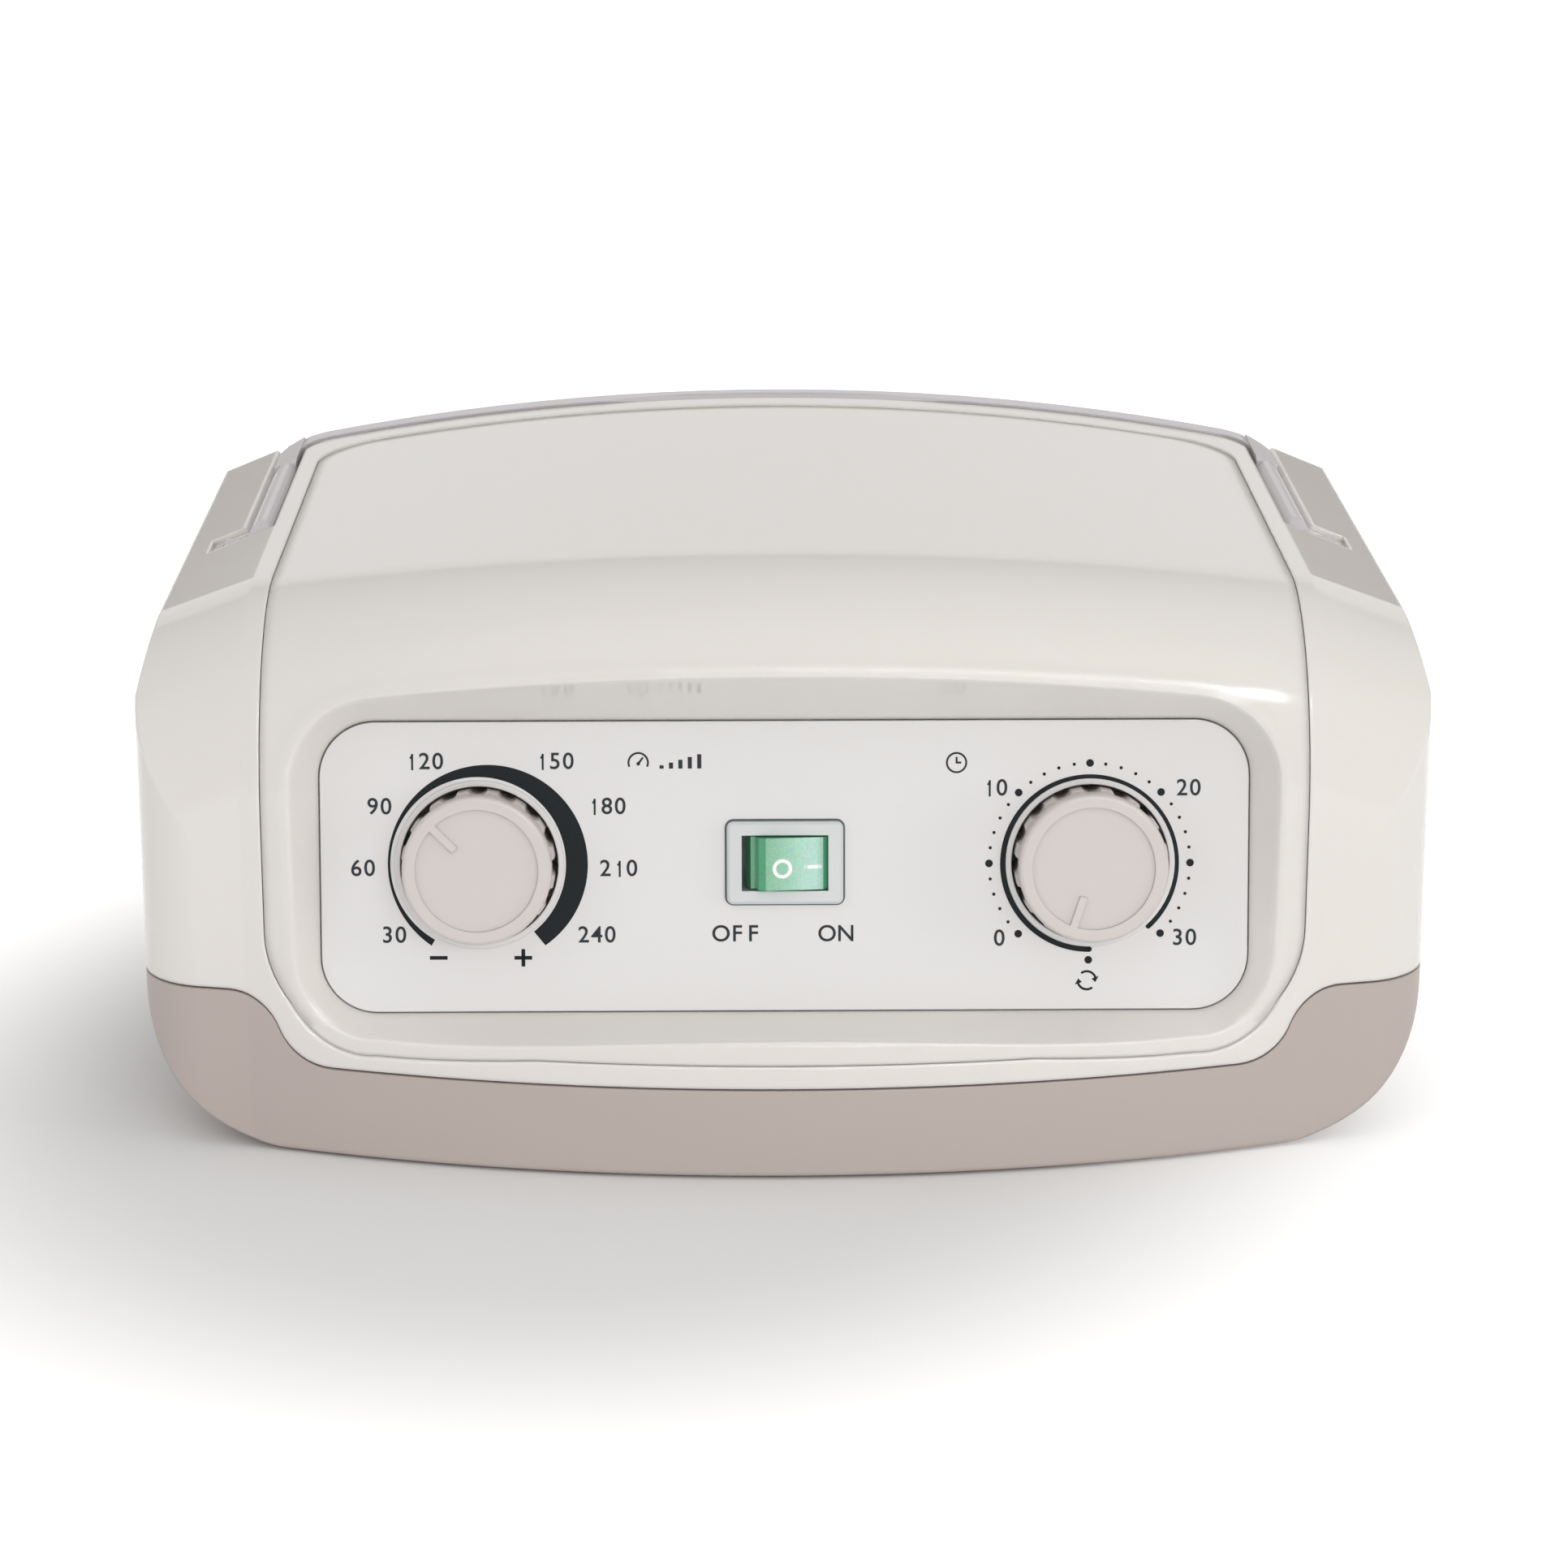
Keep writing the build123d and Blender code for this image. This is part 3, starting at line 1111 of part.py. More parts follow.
def make_compressor_frame():
    """Die-cast frame: bed plate, core pedestals and two end plates."""
    bottom = FRAME_Z - AXIS_Z
    bed = box(
        -FRAME_LENGTH / 2, FRAME_LENGTH / 2, -FRAME_WIDTH / 2, FRAME_WIDTH / 2,
        bottom, bottom + FRAME_PLATE,
    )
    frame = bed
    for side in (-1, 1):
        x0, x1 = sorted((side * END_PLATE_X, side * (END_PLATE_X + END_PLATE)))
        plate = box(x0, x1, -FRAME_WIDTH / 2, FRAME_WIDTH / 2, bottom, END_PLATE_TOP - AXIS_Z)
        frame = frame + plate - rod_x(CHAMBER_RADIUS, x0 - 1, x1 + 1, 0, 0)
        for core_side in (-1, 1):
            y0, y1 = sorted((core_side * CORE_INNER_Y, core_side * (CORE_INNER_Y + CORE_POLE)))
            px0, px1 = sorted((side * (CORE_HALF - SIDE_POLE_WIDTH), side * CORE_HALF))
            frame = frame + box(px0, px1, y0, y1, bottom, -CORE_HALF_HEIGHT)
    return at_compressor(frame)


def make_mounts():
    """Waisted rubber mounts between the base tray and the compressor frame."""
    half = Cone(MOUNT_RADIUS, MOUNT_WAIST, MOUNT_HEIGHT / 2, align=(Align.CENTER, Align.CENTER, Align.MIN))
    mount = half + Pos(0, 0, MOUNT_HEIGHT) * Rot(180, 0, 0) * half
    return group(
        [
            Pos(COMPRESSOR_X + x, COMPRESSOR_Y + y, FLOOR_Z) * mount
            for x in (-MOUNT_X, MOUNT_X)
            for y in (-MOUNT_Y, MOUNT_Y)
        ]
    )


def make_cores():
    """Two laminated E-shaped cores facing the armature."""
    cores = []
    for side in (-1, 1):
        back = CORE_INNER_Y + CORE_POLE
        core = box(-CORE_HALF, CORE_HALF, back, back + CORE_BACK, -CORE_HALF_HEIGHT, CORE_HALF_HEIGHT)
        for x0, x1 in (
            (-CORE_HALF, -CORE_HALF + SIDE_POLE_WIDTH),
            (-POLE_HALF, POLE_HALF),
            (CORE_HALF - SIDE_POLE_WIDTH, CORE_HALF),
        ):
            core = core + box(x0, x1, CORE_INNER_Y, back, -CORE_HALF_HEIGHT, CORE_HALF_HEIGHT)
        if side < 0:
            core = core.mirror(Plane.XZ)
        cores.append(at_compressor(core))
    return group(cores)


def make_coils():
    """Two windings round the middle poles."""
    coils = []
    height = CORE_HALF_HEIGHT + COIL_OVERHANG
    for side in (-1, 1):
        y0 = CORE_INNER_Y + 1
        y1 = CORE_INNER_Y + CORE_POLE - COIL_GAP
        coil = box(-COIL_HALF, COIL_HALF, y0, y1, -height, height)
        coil = fillet(coil.edges().filter_by(Axis.Y), 4)
        inner = POLE_HALF + COIL_GAP
        window = CORE_HALF_HEIGHT + COIL_GAP
        coil = coil - box(-inner, inner, 0, y1 + 1, -window, window)
        if side < 0:
            coil = coil.mirror(Plane.XZ)
        coils.append(at_compressor(coil))
    return group(coils)


def make_armature():
    """Magnet bar with a shaft through both diaphragms and a clamp nut on each end."""
    half = ARMATURE_THICK / 2
    bar = box(-ARMATURE_HALF, ARMATURE_HALF, -half, half, -ARMATURE_HALF_HEIGHT, ARMATURE_HALF_HEIGHT)
    bar = chamfer(bar.edges().filter_by(Axis.Z), 1)
    armature = bar + rod_x(ARMATURE_SHAFT, -ARMATURE_REACH, ARMATURE_REACH, 0, 0)
    for side in (-1, 1):
        x0, x1 = sorted((side * ARMATURE_REACH, side * (ARMATURE_REACH - ARMATURE_NUT)))
        armature = armature + rod_x(ARMATURE_NUT_RADIUS, x0, x1, 0, 0)
    return at_compressor(armature)


def make_diaphragms():
    """Two rubber diaphragms clamped between the end plates and the heads."""
    discs = []
    for side in (-1, 1):
        start = END_PLATE_X + END_PLATE
        x0, x1 = sorted((side * start, side * (start + DIAPHRAGM_THICK)))
        rubber = rod_x(DIAPHRAGM_RADIUS, x0, x1, 0, 0)
        rubber = rubber - rod_x(ARMATURE_SHAFT + SHAFT_CLEARANCE, x0 - 1, x1 + 1, 0, 0)
        discs.append(at_compressor(rubber))
    return group(discs)


def make_head(side):
    """Valve head: chamber towards the diaphragm, nozzle on top."""
    start = END_PLATE_X + END_PLATE + DIAPHRAGM_THICK
    x0, x1 = sorted((side * start, side * (start + HEAD_THICK)))
    height = DIAPHRAGM_RADIUS + 1
    head = box(x0, x1, -HEAD_WIDTH / 2, HEAD_WIDTH / 2, -height, height)
    head = fillet(head.edges().filter_by(Axis.X), 5)
    c0, c1 = sorted((side * start, side * (start + CHAMBER_DEPTH)))
    head = head - rod_x(CHAMBER_RADIUS, c0, c1, 0, 0)
    nozzle_x = side * (start + CHAMBER_DEPTH / 2)
    head = head + rod_z(STUB_RADIUS, height - 1, height + STUB_LENGTH, nozzle_x, 0)
    head = head - rod_z(AIR_BORE, CHAMBER_RADIUS - 2, height + STUB_LENGTH + 1, nozzle_x, 0)
    return at_compressor(head)


# ================================================================ air distributor


def make_distributor_body():
    """Round valve case with a stepped port plate at its rear."""
    case = rod_y(VALVE_RADIUS, VALVE_FRONT_Y, VALVE_REAR_Y, VALVE_X, PORT_Z)
    cavity = rod_y(
        ROTOR_RADIUS + ROTOR_GAP + 0.2, VALVE_FRONT_Y + VALVE_WALL, VALVE_REAR_Y - VALVE_WALL,
        VALVE_X, PORT_Z,
    )
    bearing = rod_y(ROTOR_SHAFT + SHAFT_CLEARANCE, VALVE_FRONT_Y - 1, VALVE_REAR_Y - 1, VALVE_X, PORT_Z)
    return case - cavity - bearing


def make_rotor():
    """Rotor disc with one curved air slot, on the gear motor's shaft."""
    rear = VALVE_REAR_Y - VALVE_WALL - ROTOR_GAP
    rotor = rod_y(ROTOR_RADIUS, rear - ROTOR_THICK, rear, VALVE_X, PORT_Z)
    for i in range(4):
        turn = 60 * i
        reach = ROTOR_RADIUS * 0.6
        x = VALVE_X + reach * cos(radians(turn))
        z = PORT_Z + reach * sin(radians(turn))
        rotor = rotor - rod_y(STUB_RADIUS, 0, FAR, x, z)
    return rotor - rod_y(ROTOR_SHAFT, 0, FAR, VALVE_X, PORT_Z)


def make_motor_shaft():
    """Output shaft of the gear motor."""
    start = VALVE_FRONT_Y - MOTOR_DEPTH / 2
    return rod_y(ROTOR_SHAFT, start, VALVE_REAR_Y - 1.3, VALVE_X, PORT_Z)


def make_motor():
    """Synchronous gear motor screwed to the front of the valve case."""
    motor = rod_y(MOTOR_RADIUS, VALVE_FRONT_Y - MOTOR_DEPTH, VALVE_FRONT_Y, VALVE_X, PORT_Z)
    motor = chamfer(motor.edges().sort_by(Axis.Y)[0], 2)
    bore = rod_y(
        ROTOR_SHAFT + SHAFT_CLEARANCE, VALVE_FRONT_Y - MOTOR_DEPTH / 2 - 0.3, VALVE_FRONT_Y + 1,
        VALVE_X, PORT_Z,
    )
    return motor - bore


def make_manifold():
    """Bar behind the valve with eight tube stubs, an inlet on top and two legs to the base."""
    half = MANIFOLD_WIDTH / 2
    bar = box(
        VALVE_X - half, VALVE_X + half, VALVE_REAR_Y, MANIFOLD_REAR_Y,
        PORT_Z - MANIFOLD_HEIGHT / 2, PORT_Z + MANIFOLD_HEIGHT / 2,
    )
    bar = chamfer(bar.edges().filter_by(Axis.Y), 2)
    for x in (VALVE_X - half / 2, VALVE_X + half / 2):
        bar = bar + box(
            x - MANIFOLD_LEG / 2, x + MANIFOLD_LEG / 2, VALVE_REAR_Y + 2, MANIFOLD_REAR_Y - 2,
            FLOOR_Z, PORT_Z,
        )
    for centre in SOCKET_X:
        for dx in SOCKET_PORTS:
            x = centre + dx
            bar = bar + rod_y(STUB_RADIUS, MANIFOLD_REAR_Y, MANIFOLD_REAR_Y + STUB_LENGTH, x, PORT_Z)
            bar = bar - rod_y(AIR_BORE, VALVE_REAR_Y + 3, FAR, x, PORT_Z)
    inlet_y = (VALVE_REAR_Y + MANIFOLD_REAR_Y) / 2
    top = PORT_Z + MANIFOLD_HEIGHT / 2
    bar = bar + rod_z(STUB_RADIUS, PORT_Z, top + STUB_LENGTH, VALVE_X, inlet_y)
    return bar - rod_z(AIR_BORE, PORT_Z, top + STUB_LENGTH + 1, VALVE_X, inlet_y)


def make_outlet_tubes():
    """Eight short tubes between the manifold and the hose sockets."""
    tubes = []
    rear = REAR_PANEL_FRONT - 2
    for centre in SOCKET_X:
        for dx in SOCKET_PORTS:
            tube = rod_y(STUB_RADIUS + TUBE_WALL, MANIFOLD_REAR_Y, rear, centre + dx, PORT_Z)
            tubes.append(tube - rod_y(STUB_RADIUS, 0, FAR, centre + dx, PORT_Z))
    return group(tubes)


def head_nozzle(side):
    """Axis and tip height of a compressor head's nozzle."""
    start = END_PLATE_X + END_PLATE + DIAPHRAGM_THICK
    x = COMPRESSOR_X + side * (start + CHAMBER_DEPTH / 2)
    return x, COMPRESSOR_Y, AXIS_Z + DIAPHRAGM_RADIUS + 1


def make_supply_tube():
    """Tube from the right compressor head to the distributor manifold."""
    x, y, z = head_nozzle(1)
    inlet_y = (VALVE_REAR_Y + MANIFOLD_REAR_Y) / 2
    top = PORT_Z + MANIFOLD_HEIGHT / 2
    crest = z + TUBE_CREST
    points = [
        (x, y, z),
        (x, y, crest),
        (VALVE_X, inlet_y, crest),
        (VALVE_X, inlet_y, top),
    ]
    return hose(points, 9, STUB_RADIUS + TUBE_WALL, STUB_RADIUS)


def make_regulator_tube():
    """Tube from the left compressor head to the pressure regulator."""
    x, y, z = head_nozzle(-1)
    depth = WELL_FLOOR + REGULATOR_DEPTH + REGULATOR_CAP
    start = PANEL.from_local_coords((-DIAL_U, DIAL_V, -depth))
    away = PANEL.from_local_coords((-DIAL_U, DIAL_V, -depth - 12))
    crest = z + TUBE_CREST
    points = [
        (start.X, start.Y, start.Z),
        (away.X, away.Y, away.Z),
        ((away.X + x) / 2, away.Y + 8, crest),
        (x, y, crest),
        (x, y, z),
    ]
    return hose(points, 5, STUB_RADIUS + TUBE_WALL, STUB_RADIUS)


# ================================================================ circuit board


def board_corners():
    """The four screw places of the circuit board."""
    half_x = BOARD_WIDTH / 2 - BOARD_POST_INSET
    half_y = BOARD_DEPTH / 2 - BOARD_POST_INSET
    return [(BOARD_X + i * half_x, BOARD_Y + j * half_y) for i in (-1, 1) for j in (-1, 1)]


def board_box(size, dx, dy):
    """Component block standing on the board."""
    top = BOARD_Z + BOARD_THICK
    x, y = BOARD_X + dx, BOARD_Y + dy
    return box(x - size[0] / 2, x + size[0] / 2, y - size[1] / 2, y + size[1] / 2, top, top + size[2])


def make_board():
    """Circuit board on four moulded posts."""
    board = board_box((BOARD_WIDTH, BOARD_DEPTH, BOARD_THICK), 0, 0)
    board = Pos(0, 0, -BOARD_THICK) * board
    for x, y in board_corners():
        board = board - rod_z(SCREW_RADIUS + SCREW_CLEARANCE, 0, ABOVE, x, y)
    return board


def make_board_screws():
    """Four short screws that hold the board."""
    screws = []
    top = BOARD_Z + BOARD_THICK
    for x, y in board_corners():
        head = rod_z(SCREW_HEAD_RADIUS - 0.4, top, top + 1.8, x, y)
        screws.append(head + rod_z(SCREW_RADIUS, FLOOR_Z + 1, top, x, y))
    return group(screws)


def make_capacitors():
    """Row of round capacitors."""
    top = BOARD_Z + BOARD_THICK
    return group(
        [
            rod_z(CAPACITOR_RADIUS, top, top + CAPACITOR_HEIGHT, BOARD_X - 16 + 9 * i, BOARD_Y)
            for i in range(CAPACITORS)
        ]
    )


# ================================================================ build and export

upper, fascia, base = make_shells()

parts = {
    "upper_housing": upper,
    "front_fascia": fascia,
    "base_tray": finish_base(base),
    "rear_panel": make_rear_panel(),
    "carry_handle": make_handle(),
    "control_panel": make_control_panel(),
    "pressure_knob": make_knob(-DIAL_U, PRESSURE_ANGLE),
    "timer_knob": make_knob(DIAL_U, TIMER_ANGLE),
    "regulator_stem": make_shaft(-DIAL_U),
    "timer_shaft": make_shaft(DIAL_U),
    "pressure_regulator": make_regulator(),
    "timer_movement": make_timer(),
    "dial_nuts": make_dial_nuts(),
    "switch_body": make_switch_body(),
    "switch_rocker": make_rocker(),
    "switch_terminals": make_terminals(),
    "inner_hose_socket": make_hose_socket(SOCKET_X[0]),
    "outer_hose_socket": make_hose_socket(SOCKET_X[1]),
    "mains_inlet": make_mains_inlet(),
    "inlet_pins": make_inlet_pins(),
    "inlet_screws": make_inlet_screws(),
    "fuse_holder": make_fuse_holder(),
    "fuse_cap": make_fuse_cap(),
    "fuse": make_fuse(),
    "rubber_feet": make_feet(),
    "case_screws": make_case_screws(),
    "compressor_frame": make_compressor_frame(),
    "compressor_mounts": make_mounts(),
    "compressor_cores": make_cores(),
    "compressor_coils": make_coils(),
    "compressor_armature": make_armature(),
    "compressor_diaphragms": make_diaphragms(),
    "left_head": make_head(-1),
    "right_head": make_head(1),
    "distributor_body": make_distributor_body(),
    "distributor_rotor": make_rotor(),
    "motor_shaft": make_motor_shaft(),
    "distributor_motor": make_motor(),
    "air_manifold": make_manifold(),
    "outlet_tubes": make_outlet_tubes(),
    "supply_tube": make_supply_tube(),
    "regulator_tube": make_regulator_tube(),
    "circuit_board": make_board(),
    "board_screws": make_board_screws(),
    "board_capacitors": make_capacitors(),
    "board_relay": board_box(RELAY_SIZE, 14, 4),
    "terminal_block": board_box(TERMINAL_BLOCK_SIZE, 0, -13),
}

os.makedirs("parts", exist_ok=True)
for name, shape in parts.items():
    export_step(shape, "parts/" + name + ".step")
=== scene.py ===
import json
import math

import bmesh
import bpy
from mathutils import Matrix, Vector
from mathutils.bvhtree import BVHTree


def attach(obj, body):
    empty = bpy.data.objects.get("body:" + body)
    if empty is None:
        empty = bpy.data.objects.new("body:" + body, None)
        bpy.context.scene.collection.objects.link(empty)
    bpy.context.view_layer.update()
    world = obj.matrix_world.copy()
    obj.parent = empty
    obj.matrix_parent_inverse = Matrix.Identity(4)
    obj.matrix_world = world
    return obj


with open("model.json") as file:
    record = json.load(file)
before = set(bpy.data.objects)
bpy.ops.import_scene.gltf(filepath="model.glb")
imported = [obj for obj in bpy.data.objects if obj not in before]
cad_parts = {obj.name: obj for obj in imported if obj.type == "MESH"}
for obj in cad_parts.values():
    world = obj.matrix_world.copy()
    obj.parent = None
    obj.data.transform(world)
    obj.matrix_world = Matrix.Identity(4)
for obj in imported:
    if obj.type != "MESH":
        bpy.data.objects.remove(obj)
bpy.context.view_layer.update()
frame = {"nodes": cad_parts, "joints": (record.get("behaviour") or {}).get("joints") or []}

nodes = frame["nodes"]
joints = {joint["name"]: joint for joint in frame["joints"]}

# ---------------------------------------------------------------- camera
# A long portrait lens on a stand in front of the pump and a little above it, aimed at the pump.
EYE_MM = (-9.9, -833.9, 300.7)
LOOK_DOWN = 16.98
LOOK_RIGHT = 0.73
LENS_MM = 102.0
MM = 0.001


def millimetres(*place):
    """A place written in millimetres, in metres."""
    return Vector(place) * MM


camera = bpy.data.objects.new("camera", bpy.data.cameras.new("camera"))
camera.data.lens = LENS_MM
camera.data.clip_start = 0.05
camera.data.clip_end = 50
camera.location = millimetres(*EYE_MM)
camera.rotation_euler = (math.radians(90 - LOOK_DOWN), 0, -math.radians(LOOK_RIGHT))
bpy.context.scene.collection.objects.link(camera)
bpy.context.scene.camera = camera
bpy.context.scene.view_settings.view_transform = "Standard"

# ---------------------------------------------------------------- floor and light
# White paper, glowing away from the pump so that its shadow stays, inside a pale tent: a softbox in
# front on the right, a weaker one on the left, white boards low in front and on the right, and a high
# bright window that only gloss shows.
FLOOR_HALF_MM = 4000
PAPER_GLOW_NEAR = 0.0
PAPER_GLOW_FAR = 0.55
GLOW_FROM_MM, GLOW_TO_MM = 75, 190      # distance from the middle of the shadow
SHADOW_MIDDLE_MM = (-40, -60, 0)
AMBIENT_LOW, AMBIENT_HIGH = 0.44, 0.88  # light from the tent's walls and from its top
AMBIENT_EDGE = (0.2, 0.9)               # sines of the heights between which it rises
LOW_EDGE = (0.090, 0.140)               # where a darker skirting meets the tent's white wall
CEILING_EDGE = (0.40, 0.43)             # and where the wall meets the dim ceiling
BEHIND_EDGE = (-0.05, 0.05)             # sine of the angle where the half behind the pump begins
AIM_MM = (0, 0, 50)                     # middle of the pump, which the lamps face


def linear(code):
    """An sRGB hex colour as linear RGBA."""
    parts = [int(code[i:i + 2], 16) / 255 for i in (0, 2, 4)]
    return tuple(c / 12.92 if c <= 0.04045 else ((c + 0.055) / 1.055) ** 2.4 for c in parts) + (1,)


def add_node(tree, kind, settings=None, **sockets):
    """Adds a node; settings are its own values, and each socket takes a value or a link."""
    made = tree.nodes.new(kind)
    for key, value in (settings or {}).items():
        setattr(made, key, value)
    for key, value in sockets.items():
        target = made.inputs[int(key[1:])] if key[1:].isdigit() else made.inputs[key.replace("_", " ")]
        if isinstance(value, bpy.types.NodeSocket):
            tree.links.new(value, target)
        else:
            target.default_value = value
    return made


def new_material(name):
    """An empty node material and its tree."""
    material = bpy.data.materials.new(name)
    material.use_nodes = True
    material.node_tree.nodes.clear()
    return material, material.node_tree


def mesh_object(name, vertices, faces, material, smooth=False):
    """A mesh piece from a list of corners in metres and a list of faces."""
    mesh = bpy.data.meshes.new(name)
    mesh.from_pydata(vertices, [], faces)
    mesh.materials.append(material)
    for face in mesh.polygons:
        face.use_smooth = smooth
    piece = bpy.data.objects.new(name, mesh)
    bpy.context.scene.collection.objects.link(piece)
    return piece


def seen_rays(tree):
    """The light path, and 1 for rays from the camera, off gloss or through glass."""
    path = add_node(tree, "ShaderNodeLightPath")
    shown = add_node(tree, "ShaderNodeMath", {"operation": "MAXIMUM"}, _0=path.outputs["Is Camera Ray"],
                     _1=path.outputs["Is Glossy Ray"])
    return path, add_node(tree, "ShaderNodeMath", {"operation": "MAXIMUM"}, _0=shown.outputs[0],
                          _1=path.outputs["Is Transmission Ray"]).outputs[0]


paper, tree = new_material("white_paper")
_, shown = seen_rays(tree)
place = add_node(tree, "ShaderNodeTexCoord")
distance = add_node(tree, "ShaderNodeVectorMath", {"operation": "DISTANCE"}, _0=place.outputs["Object"],
                    _1=millimetres(*SHADOW_MIDDLE_MM))
glow = add_node(tree, "ShaderNodeMapRange", {"interpolation_type": "SMOOTHSTEP"},
                Value=distance.outputs["Value"], From_Min=GLOW_FROM_MM * MM, From_Max=GLOW_TO_MM * MM,
                To_Min=PAPER_GLOW_NEAR, To_Max=PAPER_GLOW_FAR)
share = add_node(tree, "ShaderNodeMath", {"operation": "MULTIPLY"}, _0=shown, _1=glow.outputs["Result"])
lit = add_node(tree, "ShaderNodeBsdfPrincipled", Base_Color=linear("E6E6E6"), Roughness=0.9)
lit.inputs["Specular IOR Level"].default_value = 0.1
shine = add_node(tree, "ShaderNodeEmission", Color=linear("FFFFFF"), Strength=share.outputs[0])
both = add_node(tree, "ShaderNodeAddShader", _0=lit.outputs[0], _1=shine.outputs[0])
add_node(tree, "ShaderNodeOutputMaterial", Surface=both.outputs[0])
reach = FLOOR_HALF_MM * MM
floor = mesh_object(
    "floor", [(-reach, -reach, 0), (reach, -reach, 0), (reach, reach, 0), (-reach, reach, 0)],
    [(0, 1, 2, 3)], paper,
)

world = bpy.data.worlds.new("tent")
bpy.context.scene.world = world
world.use_nodes = True
tree = world.node_tree
tree.nodes.clear()
path, shown = seen_rays(tree)
direction = add_node(tree, "ShaderNodeTexCoord")
height = add_node(tree, "ShaderNodeSeparateXYZ", Vector=direction.outputs["Generated"])
level = add_node(tree, "ShaderNodeMapRange", {"interpolation_type": "SMOOTHSTEP"},
                 Value=height.outputs["Z"], From_Min=AMBIENT_EDGE[0], From_Max=AMBIENT_EDGE[1],
                 To_Min=AMBIENT_LOW, To_Max=AMBIENT_HIGH)
ambient = add_node(tree, "ShaderNodeBackground", Color=linear("FFFEFD"), Strength=level.outputs["Result"])
wall = add_node(tree, "ShaderNodeValToRGB", Fac=height.outputs["Z"])
ramp = wall.color_ramp.elements
ramp[0].position, ramp[0].color = LOW_EDGE[0], linear("8F8783")
ramp[1].position, ramp[1].color = LOW_EDGE[1], linear("FBFAF9")
for position, code in zip(CEILING_EDGE, ("F4F3F2", "B4B0AD")):
    ramp.new(position).color = linear(code)
behind = add_node(tree, "ShaderNodeMapRange", Value=height.outputs["Y"], From_Min=BEHIND_EDGE[0],
                  From_Max=BEHIND_EDGE[1])
tent = add_node(tree, "ShaderNodeMix", {"data_type": "RGBA"}, _0=behind.outputs["Result"],
                _6=linear("D8D6D4"), _7=wall.outputs[0])
sides = add_node(tree, "ShaderNodeMix", {"data_type": "RGBA"}, _0=path.outputs["Is Camera Ray"],
                 _6=tent.outputs["Result"], _7=linear("FFFFFF"))
backdrop = add_node(tree, "ShaderNodeBackground", Color=sides.outputs["Result"], Strength=1.0)
blend = add_node(tree, "ShaderNodeMixShader", Fac=shown, _1=ambient.outputs[0], _2=backdrop.outputs[0])
add_node(tree, "ShaderNodeOutputWorld", Surface=blend.outputs[0])


def softbox(name, place, width, height, watts, colour, glossy=True, matt=True):
    """A rectangular lamp aimed at the pump, in millimetres; it may light only matt or only glossy."""
    lamp = bpy.data.lights.new(name, "AREA")
    lamp.shape = "RECTANGLE"
    lamp.size = width * MM
    lamp.size_y = height * MM
    lamp.energy = watts
    lamp.color = linear(colour)[:3]
    holder = bpy.data.objects.new(name, lamp)
    holder.location = millimetres(*place)
    aim = millimetres(*AIM_MM) - holder.location
    holder.rotation_euler = aim.to_track_quat("-Z", "Y").to_euler()
    holder.visible_glossy = glossy
    holder.visible_diffuse = matt
    bpy.context.scene.collection.objects.link(holder)


softbox("key", (370, -1180, 540), width=700, height=330, watts=2.85, colour="FFFDFA")
softbox("window", (402, -862, 937), width=1500, height=110, watts=8.5, colour="FFFFFF", matt=False)
softbox("fill", (-930, -780, 420), width=500, height=700, watts=1.3, colour="FBFCFF", glossy=False)
softbox("bounce", (150, -1150, 40), width=900, height=60, watts=2.4, colour="FFFEFC", glossy=False)
softbox("wall", (1150, -500, 250), width=300, height=500, watts=1.7, colour="FFFFFF", glossy=False)

# ---------------------------------------------------------------- upper housing
# The upper shell is injection-moulded ABS, polished in the tool: warm white and glossy, faintly wavy
# and almost without grain. Its edges catch a thin line of light, and light enters it about a
# millimetre deep, which softens the seams. Screws hold it from under the base.
SINK_WAVE_MM = 14               # spacing of the faint waves that a moulding shrinks into
SHINE_SPREAD = 0.15             # share by which the roughness varies
EDGE_SAMPLES = 6
MOUTH_EDGE_MM = 3.2             # rounding of the bowl's mouth in the front fascia
MOUTH_HALF_MM, MOUTH_LOW_MM = 93.0, 24.6
MOUTH_FADE_MM = 1.0


def bowl_edge(tree, place, edge, edge_mm):
    """Rounds the mouth of the panel's bowl more than the other edges."""
    spot = add_node(tree, "ShaderNodeSeparateXYZ", Vector=place.outputs["Object"])
    across = add_node(tree, "ShaderNodeMath", {"operation": "ABSOLUTE"}, _0=spot.outputs["X"])
    inside = add_node(tree, "ShaderNodeMapRange", Value=across.outputs[0], To_Min=1.0, To_Max=0.0,
                      From_Min=MOUTH_HALF_MM * MM, From_Max=(MOUTH_HALF_MM + MOUTH_FADE_MM) * MM)
    above = add_node(tree, "ShaderNodeMapRange", Value=spot.outputs["Z"],
                     From_Min=MOUTH_LOW_MM * MM, From_Max=(MOUTH_LOW_MM + MOUTH_FADE_MM) * MM)
    both = add_node(tree, "ShaderNodeMath", {"operation": "MULTIPLY"}, _0=inside.outputs["Result"],
                    _1=above.outputs["Result"])
    radius = add_node(tree, "ShaderNodeMapRange", Value=both.outputs[0], To_Min=edge_mm * MM,
                      To_Max=MOUTH_EDGE_MM * MM)
    tree.links.new(radius.outputs["Result"], edge.inputs["Radius"])


